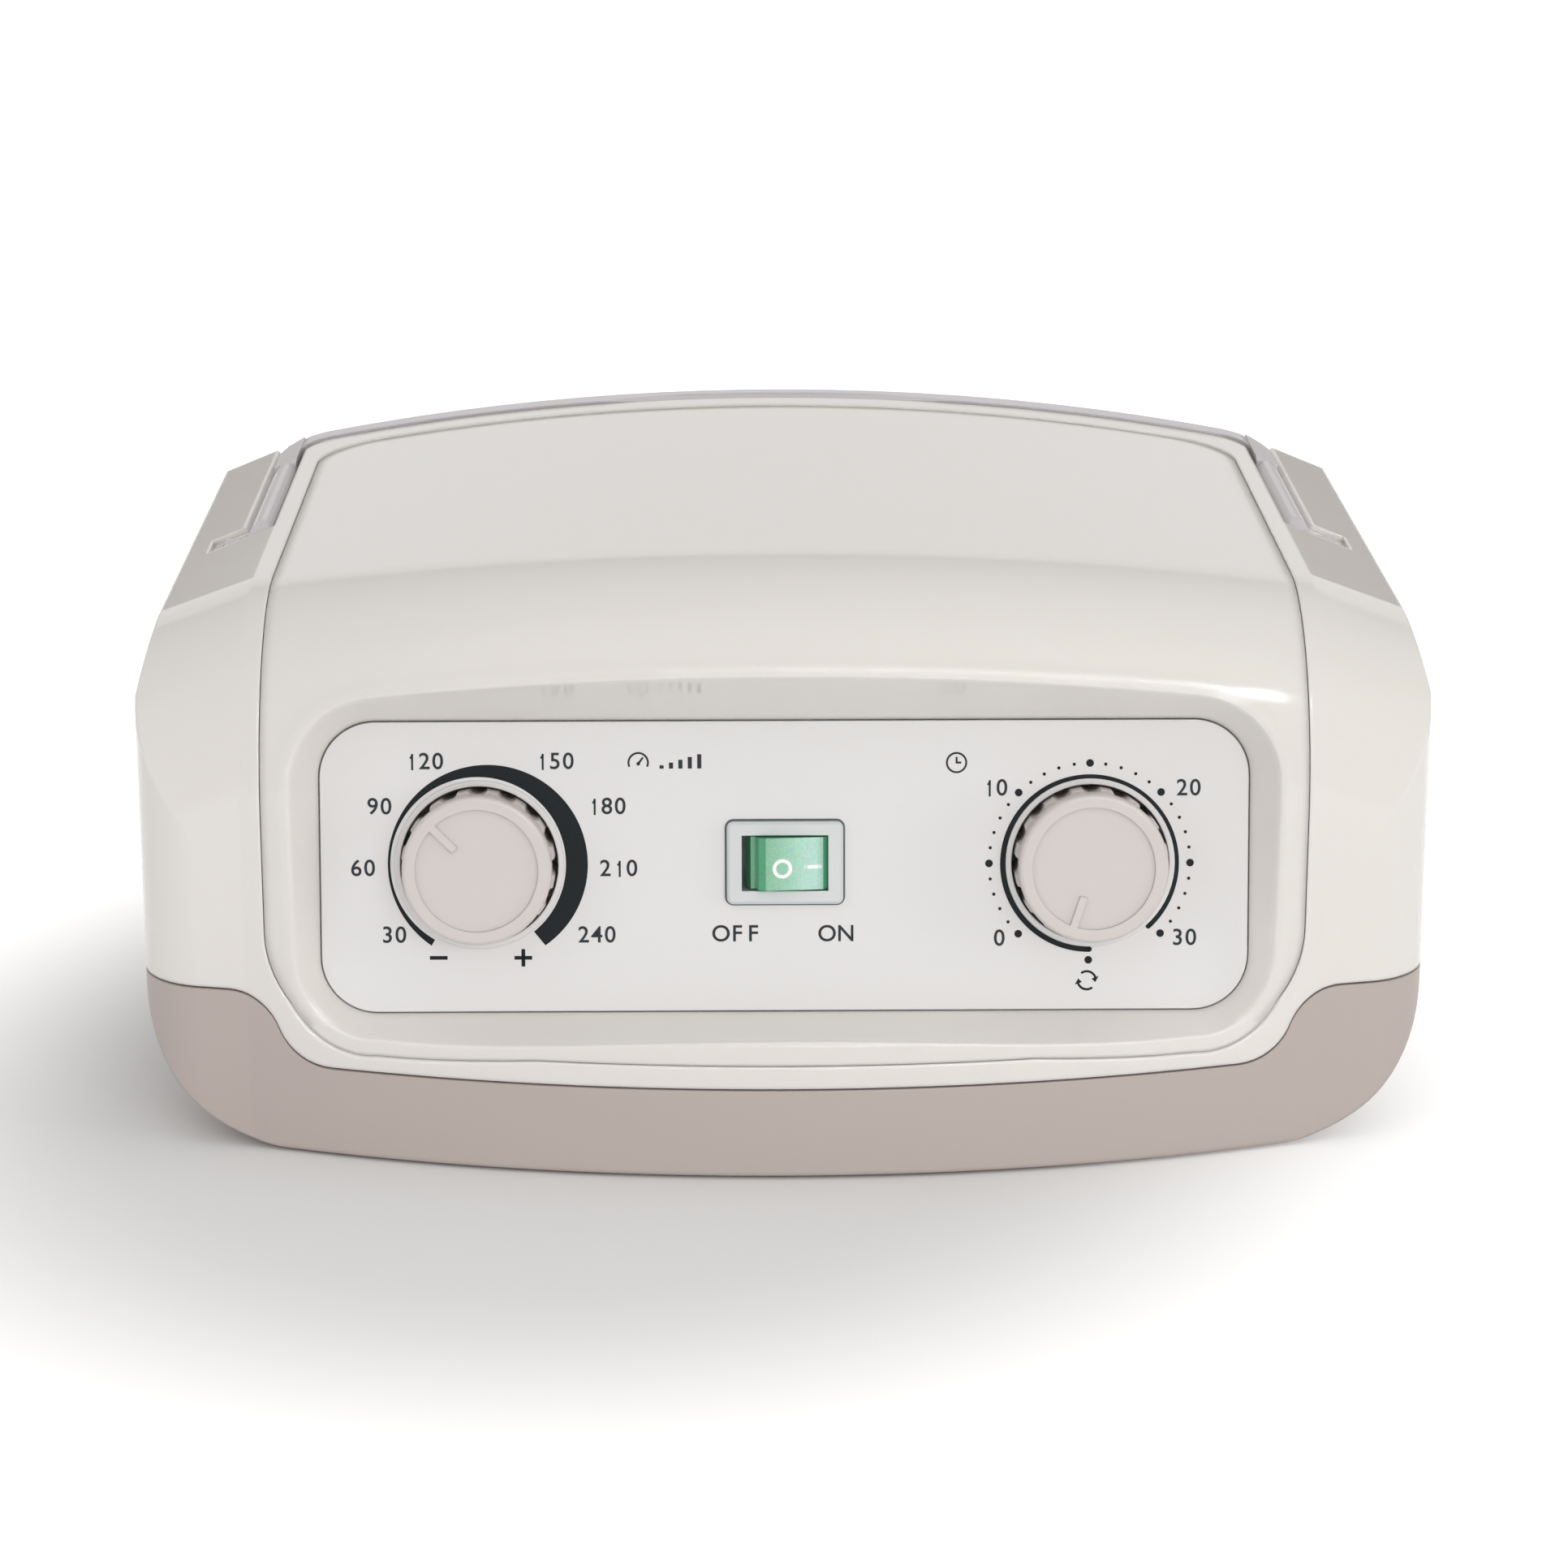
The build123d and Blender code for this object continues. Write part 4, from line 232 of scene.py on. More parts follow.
def moulded(name, code, roughness, mottle_mm, mottle, grain_mm, grain_depth_mm, wave_depth_mm=0.0,
            edge_mm=0.5, specular=0.5, mouth=False, depth_mm=0.0):
    """A moulded plastic: cloudiness, tool grain, sink waves, rounded edges and light that enters."""
    material, tree = new_material(name)
    place = add_node(tree, "ShaderNodeTexCoord")
    cloud = add_node(tree, "ShaderNodeTexNoise", Vector=place.outputs["Object"],
                     Scale=1 / (mottle_mm * MM), Detail=3.0)
    low, high = (tuple(c * (1 + s * mottle) for c in linear(code)[:3]) + (1,) for s in (-1, 1))
    tint = add_node(tree, "ShaderNodeMix", {"data_type": "RGBA"}, _0=cloud.outputs["Fac"], _6=low, _7=high)
    grain = add_node(tree, "ShaderNodeTexNoise", Vector=place.outputs["Object"],
                     Scale=1 / (grain_mm * MM), Detail=2.0)
    wave = add_node(tree, "ShaderNodeTexNoise", Vector=place.outputs["Object"],
                    Scale=1 / (SINK_WAVE_MM * MM), Detail=0.0)
    shine = add_node(tree, "ShaderNodeMapRange", Value=cloud.outputs["Fac"],
                     To_Min=roughness * (1 - SHINE_SPREAD), To_Max=roughness * (1 + SHINE_SPREAD))
    edge = add_node(tree, "ShaderNodeBevel", {"samples": EDGE_SAMPLES}, Radius=edge_mm * MM)
    if mouth:
        bowl_edge(tree, place, edge, edge_mm)
    sunk = add_node(tree, "ShaderNodeBump", Strength=1.0, Distance=wave_depth_mm * MM,
                    Height=wave.outputs["Fac"], Normal=edge.outputs[0])
    bump = add_node(tree, "ShaderNodeBump", Strength=1.0, Distance=grain_depth_mm * MM,
                    Height=grain.outputs["Fac"], Normal=sunk.outputs[0])
    shader = add_node(tree, "ShaderNodeBsdfPrincipled", Base_Color=tint.outputs["Result"],
                      Roughness=shine.outputs["Result"], IOR=1.53, Normal=bump.outputs[0])
    shader.inputs["Specular IOR Level"].default_value = specular
    if depth_mm:
        shader.inputs["Subsurface Weight"].default_value = 1.0
        shader.inputs["Subsurface Radius"].default_value = (1.0, 1.0, 1.0)      # alike in all colours
        shader.inputs["Subsurface Scale"].default_value = depth_mm * MM
    add_node(tree, "ShaderNodeOutputMaterial", Surface=shader.outputs[0])
    return material


def dress(material, *names):
    """Gives CAD pieces their finish."""
    for name in names:
        mesh = nodes[name].data
        mesh.materials.clear()
        mesh.materials.append(material)


WHITE = "E2DFDB"
POLISHED = {"roughness": 0.09, "mottle_mm": 40, "mottle": 0.008, "grain_mm": 0.35,
            "grain_depth_mm": 0.0004, "wave_depth_mm": 0.003, "edge_mm": 0.9, "depth_mm": 1.0}
abs_white = moulded("abs_white_polished", WHITE, **POLISHED)
dress(abs_white, "upper_housing")

# ---------------------------------------------------------------- front fascia
# A second polished ABS moulding in the same warm white, clipped over the middle of the housing;
# its bowl surrounds the control panel.
abs_white_bowl = moulded("abs_white_polished_bowl", WHITE, mouth=True, **POLISHED)
dress(abs_white_bowl, "front_fascia")

# ---------------------------------------------------------------- base tray and rear panel
# The tray closes the case from below, and the rear panel stands behind the ribs of both shells. They
# are moulded in taupe ABS in a spark-eroded tool, whose fine texture makes them look matte.
abs_taupe = moulded("abs_taupe_textured", "B3A8A3", roughness=0.42, mottle_mm=30, mottle=0.012,
                    grain_mm=0.45, grain_depth_mm=0.012, edge_mm=0.7)
dress(abs_taupe, "base_tray", "rear_panel")

# ---------------------------------------------------------------- carry handle
# One bail moulded in lilac-grey ABS with a satin gloss. It turns on its own two pins in the housing
# and folds down into the slots of the shoulders.
abs_lilac = moulded("abs_lilac_satin", "CFCACD", roughness=0.24, mottle_mm=25, mottle=0.01,
                    grain_mm=0.3, grain_depth_mm=0.001, wave_depth_mm=0.003, edge_mm=0.4)
dress(abs_lilac, "carry_handle")

# ---------------------------------------------------------------- control panel
# A polycarbonate overlay, matt-lacquered, with the scales screen-printed in blue-black ink. Its plane
# is found from the two dial shafts, which stand square to it.
panel_lacquer = moulded("polycarbonate_lacquer", "DDDCDC", roughness=0.34, mottle_mm=30, mottle=0.005,
                        grain_mm=0.25, grain_depth_mm=0.001, edge_mm=0.35, specular=0.3)
dress(panel_lacquer, "control_panel")

ACROSS = Vector((1, 0, 0))
OUT = Vector(joints["pressure_turn"]["axis"]).normalized()
UP = OUT.cross(ACROSS)
dial_places = [Vector(joints[name]["pos_m"]) for name in ("pressure_turn", "timer_turn")]
DIAL_V_MM = 0.46                # the dials sit this far above the middle of the panel
PANEL_ORIGIN = (dial_places[0] + dial_places[1]) / 2 - UP * DIAL_V_MM * MM
DIAL_U_MM = dial_places[1].x / MM
INK_MM = 0.03                   # thickness of the printed ink
INK_SPECKLE_MM = 0.3            # the screen's mesh, drawn coarser than it is so that it shows


def panel_place(u, v, n=0.0):
    """A place on the panel, across, up and out of its face in millimetres."""
    return PANEL_ORIGIN + (ACROSS * u + UP * v + OUT * n) * MM


def screen_ink(name, dark, light):
    """Screen ink: satin, with the faint mottling of the mesh."""
    material, tree = new_material(name)
    place = add_node(tree, "ShaderNodeTexCoord")
    speckle = add_node(tree, "ShaderNodeTexNoise", Vector=place.outputs["Object"],
                       Scale=1 / (INK_SPECKLE_MM * MM), Detail=2.0)
    tint = add_node(tree, "ShaderNodeMix", {"data_type": "RGBA"}, _0=speckle.outputs["Fac"],
                    _6=linear(dark), _7=linear(light))
    shader = add_node(tree, "ShaderNodeBsdfPrincipled", Base_Color=tint.outputs["Result"], Roughness=0.4)
    shader.inputs["Specular IOR Level"].default_value = 0.2
    add_node(tree, "ShaderNodeOutputMaterial", Surface=shader.outputs[0])
    return material


ink = screen_ink("screen_ink_blue_black", "0E1518", "161D21")
grey_ink = screen_ink("screen_ink_slate", "262C31", "2E3439")


def printed(name, outlines, u=0.0, v=0.0, place=panel_place, body="housing", material=ink):
    """Ink shapes, each a closed convex outline of (across, up) points, printed about a place."""
    vertices, faces = [], []
    for outline in outlines:
        count = len(outline)
        start = len(vertices)
        vertices += [place(u + x, v + y, 0.0) for x, y in outline]
        vertices += [place(u + x, v + y, INK_MM) for x, y in outline]
        faces.append(tuple(range(start + count, start + 2 * count)))
        faces.append(tuple(reversed(range(start, start + count))))
        for i in range(count):
            j = (i + 1) % count
            faces.append((start + i, start + j, start + count + j, start + count + i))
    piece = mesh_object(name, vertices, faces, material)
    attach(piece, body)
    return piece


def clock_point(radius, degrees, x=0.0, y=0.0):
    """A point at an angle clockwise from the top."""
    turn = math.radians(degrees)
    return x + radius * math.sin(turn), y + radius * math.cos(turn)


def dot(radius, x=0.0, y=0.0, corners=24):
    """Outline of a printed dot."""
    return [clock_point(radius, -360 * i / corners, x, y) for i in range(corners)]


def arc_line(radius, width, start, end, steps, x=0.0, y=0.0):
    """A curved line between two clock angles, as short flat pieces."""
    outlines = []
    for i in range(steps):
        a, b = (start + (end - start) * k / steps for k in (i, i + 1))
        inner, outer = radius - width / 2, radius + width / 2
        outlines.append([
            clock_point(inner, a, x, y), clock_point(inner, b, x, y),
            clock_point(outer, b, x, y), clock_point(outer, a, x, y),
        ])
    return outlines


def stroke(x0, y0, x1, y1, width):
    """A straight line with square ends."""
    along = Vector((x1 - x0, y1 - y0)).normalized() * width / 2
    side = Vector((-along.y, along.x))
    return [(x0 - side.x, y0 - side.y), (x1 - side.x, y1 - side.y),
            (x1 + side.x, y1 + side.y), (x0 + side.x, y0 + side.y)]


# the pressure scale: a crescent that swells with the pressure
CRESCENT_INNER_MM = 15.85
CRESCENT_OUTER_MM = 18.05
CRESCENT_SHIFT_MM = 1.75        # centre of the outer circle, to the right of the inner one
CRESCENT_START, CRESCENT_END = -150.0, 141.0
CRESCENT_STEPS = 100
CRESCENT_U_MM, CRESCENT_V_MM = -0.2, 0.55       # its centre: across from the shaft, up from the middle


def crescent_radius(degrees):
    """Outer radius of the crescent, from the centre of its inner circle."""
    turn = math.radians(degrees)
    along = CRESCENT_SHIFT_MM * math.sin(turn)
    beside = CRESCENT_SHIFT_MM * math.cos(turn)
    return along + math.sqrt(CRESCENT_OUTER_MM**2 - beside**2)


crescent = []
for i in range(CRESCENT_STEPS):
    a, b = (CRESCENT_START + (CRESCENT_END - CRESCENT_START) * k / CRESCENT_STEPS for k in (i, i + 1))
    crescent.append([
        clock_point(CRESCENT_INNER_MM, a), clock_point(CRESCENT_INNER_MM, b),
        clock_point(crescent_radius(b), b), clock_point(crescent_radius(a), a),
    ])
printed("pressure_scale", crescent, -DIAL_U_MM + CRESCENT_U_MM, CRESCENT_V_MM)

# the time scale: an even ring, minute dots and a dot for continuous running
RING_MM = 15.7
RING_WIDTH_MM = 1.0
RING_START, RING_END = -180.0, 137.0
RING_STEPS = 120
RING_V_MM = 0.3
DOT_CIRCLE_MM = 18.2
DOT_START, DOT_STEP = -135, 9   # clock angle of nought, and from minute to minute
MINUTE_DOTS, LARGE_EVERY = 31, 5
LARGE_DOT_MM, SMALL_DOT_MM = 0.7, 0.3
CONTINUOUS_DOT_MM = (-0.15, -17.7)
DOTS_V_MM = 0.35
TIME_U_MM = DIAL_U_MM - 0.1     # the print is set a hair to the left of the shaft
ring = arc_line(RING_MM, RING_WIDTH_MM, RING_START, RING_END, RING_STEPS)
ring += [dot(RING_WIDTH_MM / 2, *clock_point(RING_MM, a)) for a in (RING_START, RING_END)]
printed("time_ring", ring, TIME_U_MM, RING_V_MM)
dots = []
for i in range(MINUTE_DOTS):
    radius = SMALL_DOT_MM if i % LARGE_EVERY else LARGE_DOT_MM
    dots.append(dot(radius, *clock_point(DOT_CIRCLE_MM, DOT_START + DOT_STEP * i)))
dots.append(dot(LARGE_DOT_MM, *CONTINUOUS_DOT_MM))
printed("time_dots", dots, TIME_U_MM, DOTS_V_MM)

# two arrows that chase each other, for continuous running
LOOP_MM, LOOP_LINE_MM = 1.65, 0.42
LOOP_TAIL, LOOP_NECK, HEAD_BACK, HEAD_TIP = -38, 72, 70, 103    # clock angles along one arrow
HEAD_IN_MM, HEAD_TIP_IN_MM, HEAD_OUT_MM = 0.72, 0.08, 0.66
LOOP_STEPS = 14
LOOP_U_MM, LOOP_V_MM = DIAL_U_MM - 0.5, -21.1
loop = []
for turn in (0, 180):
    loop += arc_line(LOOP_MM, LOOP_LINE_MM, turn + LOOP_TAIL, turn + LOOP_NECK, LOOP_STEPS)
    loop.append([clock_point(LOOP_MM - HEAD_IN_MM, turn + HEAD_BACK),
                 clock_point(LOOP_MM - HEAD_TIP_IN_MM, turn + HEAD_TIP),
                 clock_point(LOOP_MM + HEAD_OUT_MM, turn + HEAD_BACK)])
printed("continuous_mark", loop, LOOP_U_MM, LOOP_V_MM)

# plus and minus
MARK_HALF_MM, MARK_LINE_MM = 1.6, 0.68
MINUS_PLACE_MM, PLUS_PLACE_MM = (-62.7, -16.5), (-47.4, -16.55)
minus = stroke(-MARK_HALF_MM, 0, MARK_HALF_MM, 0, MARK_LINE_MM)
post = stroke(0, -MARK_HALF_MM, 0, MARK_HALF_MM, MARK_LINE_MM)
printed("minus_mark", [minus], *MINUS_PLACE_MM)
printed("plus_mark", [minus, post], *PLUS_PLACE_MM)

# a small gauge and a clock face, which say what the two dials set
ICON_MM, ICON_LINE_MM = 1.75, 0.36
GAUGE_PLACE_MM, CLOCK_PLACE_MM = (-26.4, 18.9), (31.0, 18.7)
GAUGE_SWEEP = 115
GAUGE_HUB_MM, GAUGE_HUB_DOWN_MM = 0.34, 0.2
NEEDLE_END_MM = (0.85, 0.95)
HAND_OVERLAP_MM = 0.1
MINUTE_HAND_MM, HOUR_HAND_MM = 1.05, 0.85
BARS, BAR_LEFT_MM, BAR_PITCH_MM, BAR_WIDTH_MM = 5, 4.2, 1.7, 0.75
BAR_FOOT_MM, BAR_TOP_MM, BAR_RISE_MM = -1.1, -0.5, 0.5
GAUGE_STEPS, CLOCK_STEPS, SMALL_CORNERS = 24, 32, 12
gauge = arc_line(ICON_MM, ICON_LINE_MM, -GAUGE_SWEEP, GAUGE_SWEEP, GAUGE_STEPS)
gauge.append(stroke(0, -GAUGE_HUB_DOWN_MM, *NEEDLE_END_MM, ICON_LINE_MM))
gauge.append(dot(GAUGE_HUB_MM, 0, -GAUGE_HUB_DOWN_MM, SMALL_CORNERS))
for i in range(BARS):
    left = BAR_LEFT_MM + BAR_PITCH_MM * i
    gauge.append(stroke(left, BAR_FOOT_MM, left, BAR_TOP_MM + BAR_RISE_MM * i, BAR_WIDTH_MM))
printed("gauge_mark", gauge, *GAUGE_PLACE_MM, material=grey_ink)
clock = arc_line(ICON_MM, ICON_LINE_MM, 0, 360, CLOCK_STEPS)
clock.append(stroke(0, -HAND_OVERLAP_MM, 0, MINUTE_HAND_MM, ICON_LINE_MM))
clock.append(stroke(-HAND_OVERLAP_MM, 0, HOUR_HAND_MM, 0, ICON_LINE_MM))
printed("clock_mark", clock, *CLOCK_PLACE_MM, material=grey_ink)


FIGURE_MM = 2.95                # height of the figures and letters
FIGURE_PITCH_MM = 2.4
FIGURE_WEIGHT_MM = 0.045
CAP_SHARE = 0.70                # height of a capital in the built-in type, of its nominal size
ONE_STEM_SHARE = 0.125          # width of the figure one's stem, of its height
ONE_STEM_X_MM = 0.2
ONE_FLAG_SHARE = 0.8            # width of its flag, of the stem's
ONE_FLAG_DROP_MM, ONE_FLAG_TOP_MM, ONE_FLAG_X_MM = 0.85, 0.12, 0.26
BRICK_SIDES = ((3, 2, 1, 0), (4, 5, 6, 7), (0, 1, 5, 4), (1, 2, 6, 5), (2, 3, 7, 6), (3, 0, 4, 7))


def figure_one():
    """The figure one with a stem and a flag, which the built-in type leaves out."""
    top, line = FIGURE_MM / 2, FIGURE_MM * ONE_STEM_SHARE
    stem = stroke(ONE_STEM_X_MM, -top, ONE_STEM_X_MM, top, line)
    flag = stroke(ONE_STEM_X_MM - line, top - ONE_FLAG_DROP_MM, ONE_FLAG_X_MM, top - ONE_FLAG_TOP_MM,
                  line * ONE_FLAG_SHARE)
    corners, faces = [], []
    for outline in (stem, flag):
        faces += [tuple(len(corners) + k for k in side) for side in BRICK_SIDES]
        corners += [(x * MM, y * MM, z * INK_MM / 2 * MM) for z in (-1, 1) for x, y in outline]
    mesh = bpy.data.meshes.new("figure_one")
    mesh.from_pydata(corners, [], faces)
    return mesh


def glyph(letter):
    """The solid of one letter or figure, centred on nought, in metres."""
    if letter == "1":
        return figure_one()
    curve = bpy.data.curves.new("letter", "FONT")
    curve.body = letter
    curve.size = FIGURE_MM / CAP_SHARE * MM
    curve.align_x = "CENTER"
    curve.align_y = "CENTER"
    curve.extrude = INK_MM / 2 * MM
    curve.offset = FIGURE_WEIGHT_MM * MM
    curve.resolution_u = 6
    holder = bpy.data.objects.new("letter", curve)
    bpy.context.scene.collection.objects.link(holder)
    bpy.context.view_layer.update()
    mesh = bpy.data.meshes.new_from_object(holder.evaluated_get(bpy.context.evaluated_depsgraph_get()))
    bpy.data.objects.remove(holder)
    return mesh


def printed_text(name, words, u, v, pitch=FIGURE_PITCH_MM):
    """Figures or a word in a plain even-pitched type, as thin raised ink."""
    turn = Matrix((ACROSS, UP, OUT)).transposed().to_4x4()
    joined = bmesh.new()
    for i, letter in enumerate(words):
        mesh = glyph(letter)
        left = u + (i - (len(words) - 1) / 2) * pitch
        mesh.transform(Matrix.Translation(panel_place(left, v, INK_MM / 2)) @ turn)
        joined.from_mesh(mesh)
    mesh = bpy.data.meshes.new(name)
    joined.to_mesh(mesh)
    joined.free()
    mesh.materials.clear()
    mesh.materials.append(grey_ink)
    piece = bpy.data.objects.new(name, mesh)
    bpy.context.scene.collection.objects.link(piece)
    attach(piece, "housing")


# the figures, each with its place on the panel in millimetres
FIGURES = {
    "30": (-70.7, -12.4), "60": (-76.2, -0.2), "90": (-73.1, 11.0), "120": (-64.9, 19.15),
    "150": (-41.4, 19.1), "180": (-32.1, 10.9), "210": (-30.05, -0.4), "240": (-34.05, -12.5),
}
for words, (u, v) in FIGURES.items():
    printed_text("pressure_" + words, words, u, v)
MINUTES = {"0": (38.8, -13.4), "10": (38.0, 14.0), "20": (72.95, 13.9), "30": (72.35, -13.4)}
for words, (u, v) in MINUTES.items():
    printed_text("minutes_" + words, words, u, v)
OFF_PLACE_MM, OFF_PITCH_MM = (-8.7, -12.4), 2.9
ON_PLACE_MM, ON_PITCH_MM = (9.3, -12.45), 3.4
printed_text("switch_off", "OFF", *OFF_PLACE_MM, OFF_PITCH_MM)
printed_text("switch_on", "ON", *ON_PLACE_MM, ON_PITCH_MM)

# ---------------------------------------------------------------- dial knobs
# Two alike knobs in warm grey ABS, satin: a dished cap with a raised rim and a pointer rib over a
# skirt with scalloped flutes, pushed onto the shaft.
abs_knob = moulded("abs_knob_satin", "CCC5C3", roughness=0.3, mottle_mm=20, mottle=0.006,
                   grain_mm=0.3, grain_depth_mm=0.001, edge_mm=0.3, specular=0.35)
dress(abs_knob, "pressure_knob", "timer_knob")

# ---------------------------------------------------------------- rocker switch
# A snap-in mains switch: a glossy pale nylon bezel, and a rocker in clear green polycarbonate, frosted
# on top and deep green at its ends, with its off and on signs printed in white. A lamp shines through
# the top, and its glow and a reflection band are painted into the top's colour: pale, brightest right
# of the middle and dim at both ends.
BEZEL_WIDTH_MM, BEZEL_HEIGHT_MM, BEZEL_CORNER_MM = 21.0, 15.0, 1.2
BEZEL_V_MM = 0.74               # its middle sits this far above the middle of the panel
BEZEL_GAP_MM = 0.38             # the shaded line where the bezel meets the panel
CORNER_STEPS = 6
FROST_MM, FROST_DEPTH_MM = 0.45, 0.01
ROCKER_EDGE_MM = 0.3
GLOW_LEFT_MM, GLOW_RIGHT_MM = -3.5, 7.5     # span of the top's painted glow and painted reflection band, dim at both ends
TOP_FACING = (0.93, 0.98)       # cosines between which a face counts as the rocker's top
FROST_SHARE = 0.55
LAMP_GLOW = 0.07
PROBE_MM = 20                   # rays to the rocker start this far in front of the panel
nylon_bezel = moulded("nylon_bezel_gloss", "CFD2D3", roughness=0.22, mottle_mm=15, mottle=0.006,
                      grain_mm=0.3, grain_depth_mm=0.0008, edge_mm=0.3)
dress(nylon_bezel, "switch_body")

# painted shade: a dark ring printed on the panel round the bezel, where shade falls in the gap between bezel
# and panel
painted_gap_shade = []
half_w, half_h = BEZEL_WIDTH_MM / 2 - BEZEL_CORNER_MM, BEZEL_HEIGHT_MM / 2 - BEZEL_CORNER_MM
gap_radius = BEZEL_CORNER_MM + BEZEL_GAP_MM / 2
for quarter, (right, up) in enumerate(((1, 1), (1, -1), (-1, -1), (-1, 1))):
    painted_gap_shade += arc_line(gap_radius, BEZEL_GAP_MM, 90 * quarter, 90 * (quarter + 1), CORNER_STEPS,
                     right * half_w, up * half_h)
for side in (-1, 1):
    edge_u, edge_v = side * (half_w + gap_radius), side * (half_h + gap_radius)
    painted_gap_shade.append(stroke(edge_u, -half_h, edge_u, half_h, BEZEL_GAP_MM))
    painted_gap_shade.append(stroke(-half_w, edge_v, half_w, edge_v, BEZEL_GAP_MM))
gap_shade = screen_ink("bezel_gap_shade", "5A646A", "666F74")
printed("bezel_gap", painted_gap_shade, 0.0, BEZEL_V_MM, material=gap_shade)

rocker_mesh = nodes["switch_rocker"].data
rocker_tree = BVHTree.FromPolygons([v.co.copy() for v in rocker_mesh.vertices],
                                   [tuple(p.vertices) for p in rocker_mesh.polygons])


def rocker_place(u, v, n=0.0):
    """A place on the rocker's top, found straight behind a place on the panel's plane."""
    hit, normal, _, _ = rocker_tree.ray_cast(panel_place(u, v, PROBE_MM), -OUT)
    return hit + normal * n * MM


top_normal = rocker_tree.ray_cast(panel_place(0, 0, PROBE_MM), -OUT)[1]
lens_green, tree = new_material("polycarbonate_green_painted_glow")
place = add_node(tree, "ShaderNodeTexCoord")
facing = add_node(tree, "ShaderNodeVectorMath", {"operation": "DOT_PRODUCT"}, _0=place.outputs["Normal"],
                  _1=top_normal)
is_top = add_node(tree, "ShaderNodeMapRange", Value=facing.outputs["Value"], From_Min=TOP_FACING[0],
                  From_Max=TOP_FACING[1])
spot = add_node(tree, "ShaderNodeSeparateXYZ", Vector=place.outputs["Object"])
along = add_node(tree, "ShaderNodeMapRange", Value=spot.outputs["X"], From_Min=GLOW_LEFT_MM * MM,
                 From_Max=GLOW_RIGHT_MM * MM)
# painted light: the lamp's glow and a reflection band, brightest right of the middle, painted into the top's
# colour
painted_glow_and_reflection = add_node(tree, "ShaderNodeValToRGB", Fac=along.outputs["Result"])
ramp = painted_glow_and_reflection.color_ramp.elements
ramp[0].position, ramp[0].color = 0.0, linear("7AAE8F")
ramp[1].position, ramp[1].color = 1.0, linear("7CA892")
for position, code in ((0.35, "8FC0A8"), (0.6, "A5CDBE"), (0.82, "A9D0C4")):
    ramp.new(position).color = linear(code)
frost = add_node(tree, "ShaderNodeTexNoise", Vector=place.outputs["Object"], Scale=1 / (FROST_MM * MM),
                 Detail=2.0)
frosted = add_node(tree, "ShaderNodeMix", {"data_type": "RGBA", "blend_type": "SOFT_LIGHT"}, _0=FROST_SHARE,
                   _6=painted_glow_and_reflection.outputs[0], _7=frost.outputs["Color"])
deep = add_node(tree, "ShaderNodeMix", {"data_type": "RGBA"}, _0=frost.outputs["Fac"],
                _6=linear("3F8F68"), _7=linear("4F9B75"))
tint = add_node(tree, "ShaderNodeMix", {"data_type": "RGBA"}, _0=is_top.outputs["Result"],
                _6=deep.outputs["Result"], _7=frosted.outputs["Result"])
edge = add_node(tree, "ShaderNodeBevel", {"samples": EDGE_SAMPLES}, Radius=ROCKER_EDGE_MM * MM)
pits = add_node(tree, "ShaderNodeBump", Strength=0.6, Distance=FROST_DEPTH_MM * MM,
                Height=frost.outputs["Fac"], Normal=edge.outputs[0])
shader = add_node(tree, "ShaderNodeBsdfPrincipled", Base_Color=tint.outputs["Result"], Roughness=0.25,
                  IOR=1.58, Normal=pits.outputs[0], Emission_Color=tint.outputs["Result"])
shader.inputs["Emission Strength"].default_value = LAMP_GLOW
add_node(tree, "ShaderNodeOutputMaterial", Surface=shader.outputs[0])
dress(lens_green, "switch_rocker")

white_ink = screen_ink("screen_ink_white", "F4F6F5", "FCFDFC")
OFF_RING_MM, SIGN_LINE_MM = 1.45, 0.62
RING_SIGN_MM, DASH_SIGN_MM = (-0.5, -0.05), (5.3, 0.16)
DASH_LEFT_MM, DASH_RIGHT_MM = -1.55, 1.0
off_ring = arc_line(OFF_RING_MM, SIGN_LINE_MM, 0, 360, CLOCK_STEPS)
printed("rocker_off_sign", off_ring, *RING_SIGN_MM, rocker_place, "rocker", white_ink)
on_dash = [stroke(DASH_LEFT_MM, 0, DASH_RIGHT_MM, 0, SIGN_LINE_MM)]
on_dash += [dot(SIGN_LINE_MM / 2, end, 0, SMALL_CORNERS) for end in (DASH_LEFT_MM, DASH_RIGHT_MM)]
printed("rocker_on_sign", on_dash, *DASH_SIGN_MM, rocker_place, "rocker", white_ink)

# ---------------------------------------------------------------- screws, shafts, contacts and windings
# Turned shafts, pressed nuts and cases, and screws of zinc-plated steel, which looks evenly silvery;
# stamped contacts of tinned brass; a die-cast frame and regulator; and coils of enamelled copper wire.
METAL_LOW = 0.92                # darkest the grain makes the colour
METAL_SHINE_SPREAD = 0.3


def metal(name, code, roughness, grain_mm):
    """A plated or bare metal with fine directionless grain."""
    material, tree = new_material(name)
    place = add_node(tree, "ShaderNodeTexCoord")
    grain = add_node(tree, "ShaderNodeTexNoise", Vector=place.outputs["Object"],
                     Scale=1 / (grain_mm * MM), Detail=3.0)
    low, high = (tuple(c * s for c in linear(code)[:3]) + (1,) for s in (METAL_LOW, 1.0))
    tint = add_node(tree, "ShaderNodeMix", {"data_type": "RGBA"}, _0=grain.outputs["Fac"], _6=low, _7=high)
    shine = add_node(tree, "ShaderNodeMapRange", Value=grain.outputs["Fac"],
                     To_Min=roughness * (1 - METAL_SHINE_SPREAD), To_Max=roughness * (1 + METAL_SHINE_SPREAD))
    shader = add_node(tree, "ShaderNodeBsdfPrincipled", Base_Color=tint.outputs["Result"],
                      Roughness=shine.outputs["Result"], Metallic=1.0)
    add_node(tree, "ShaderNodeOutputMaterial", Surface=shader.outputs[0])
    return material


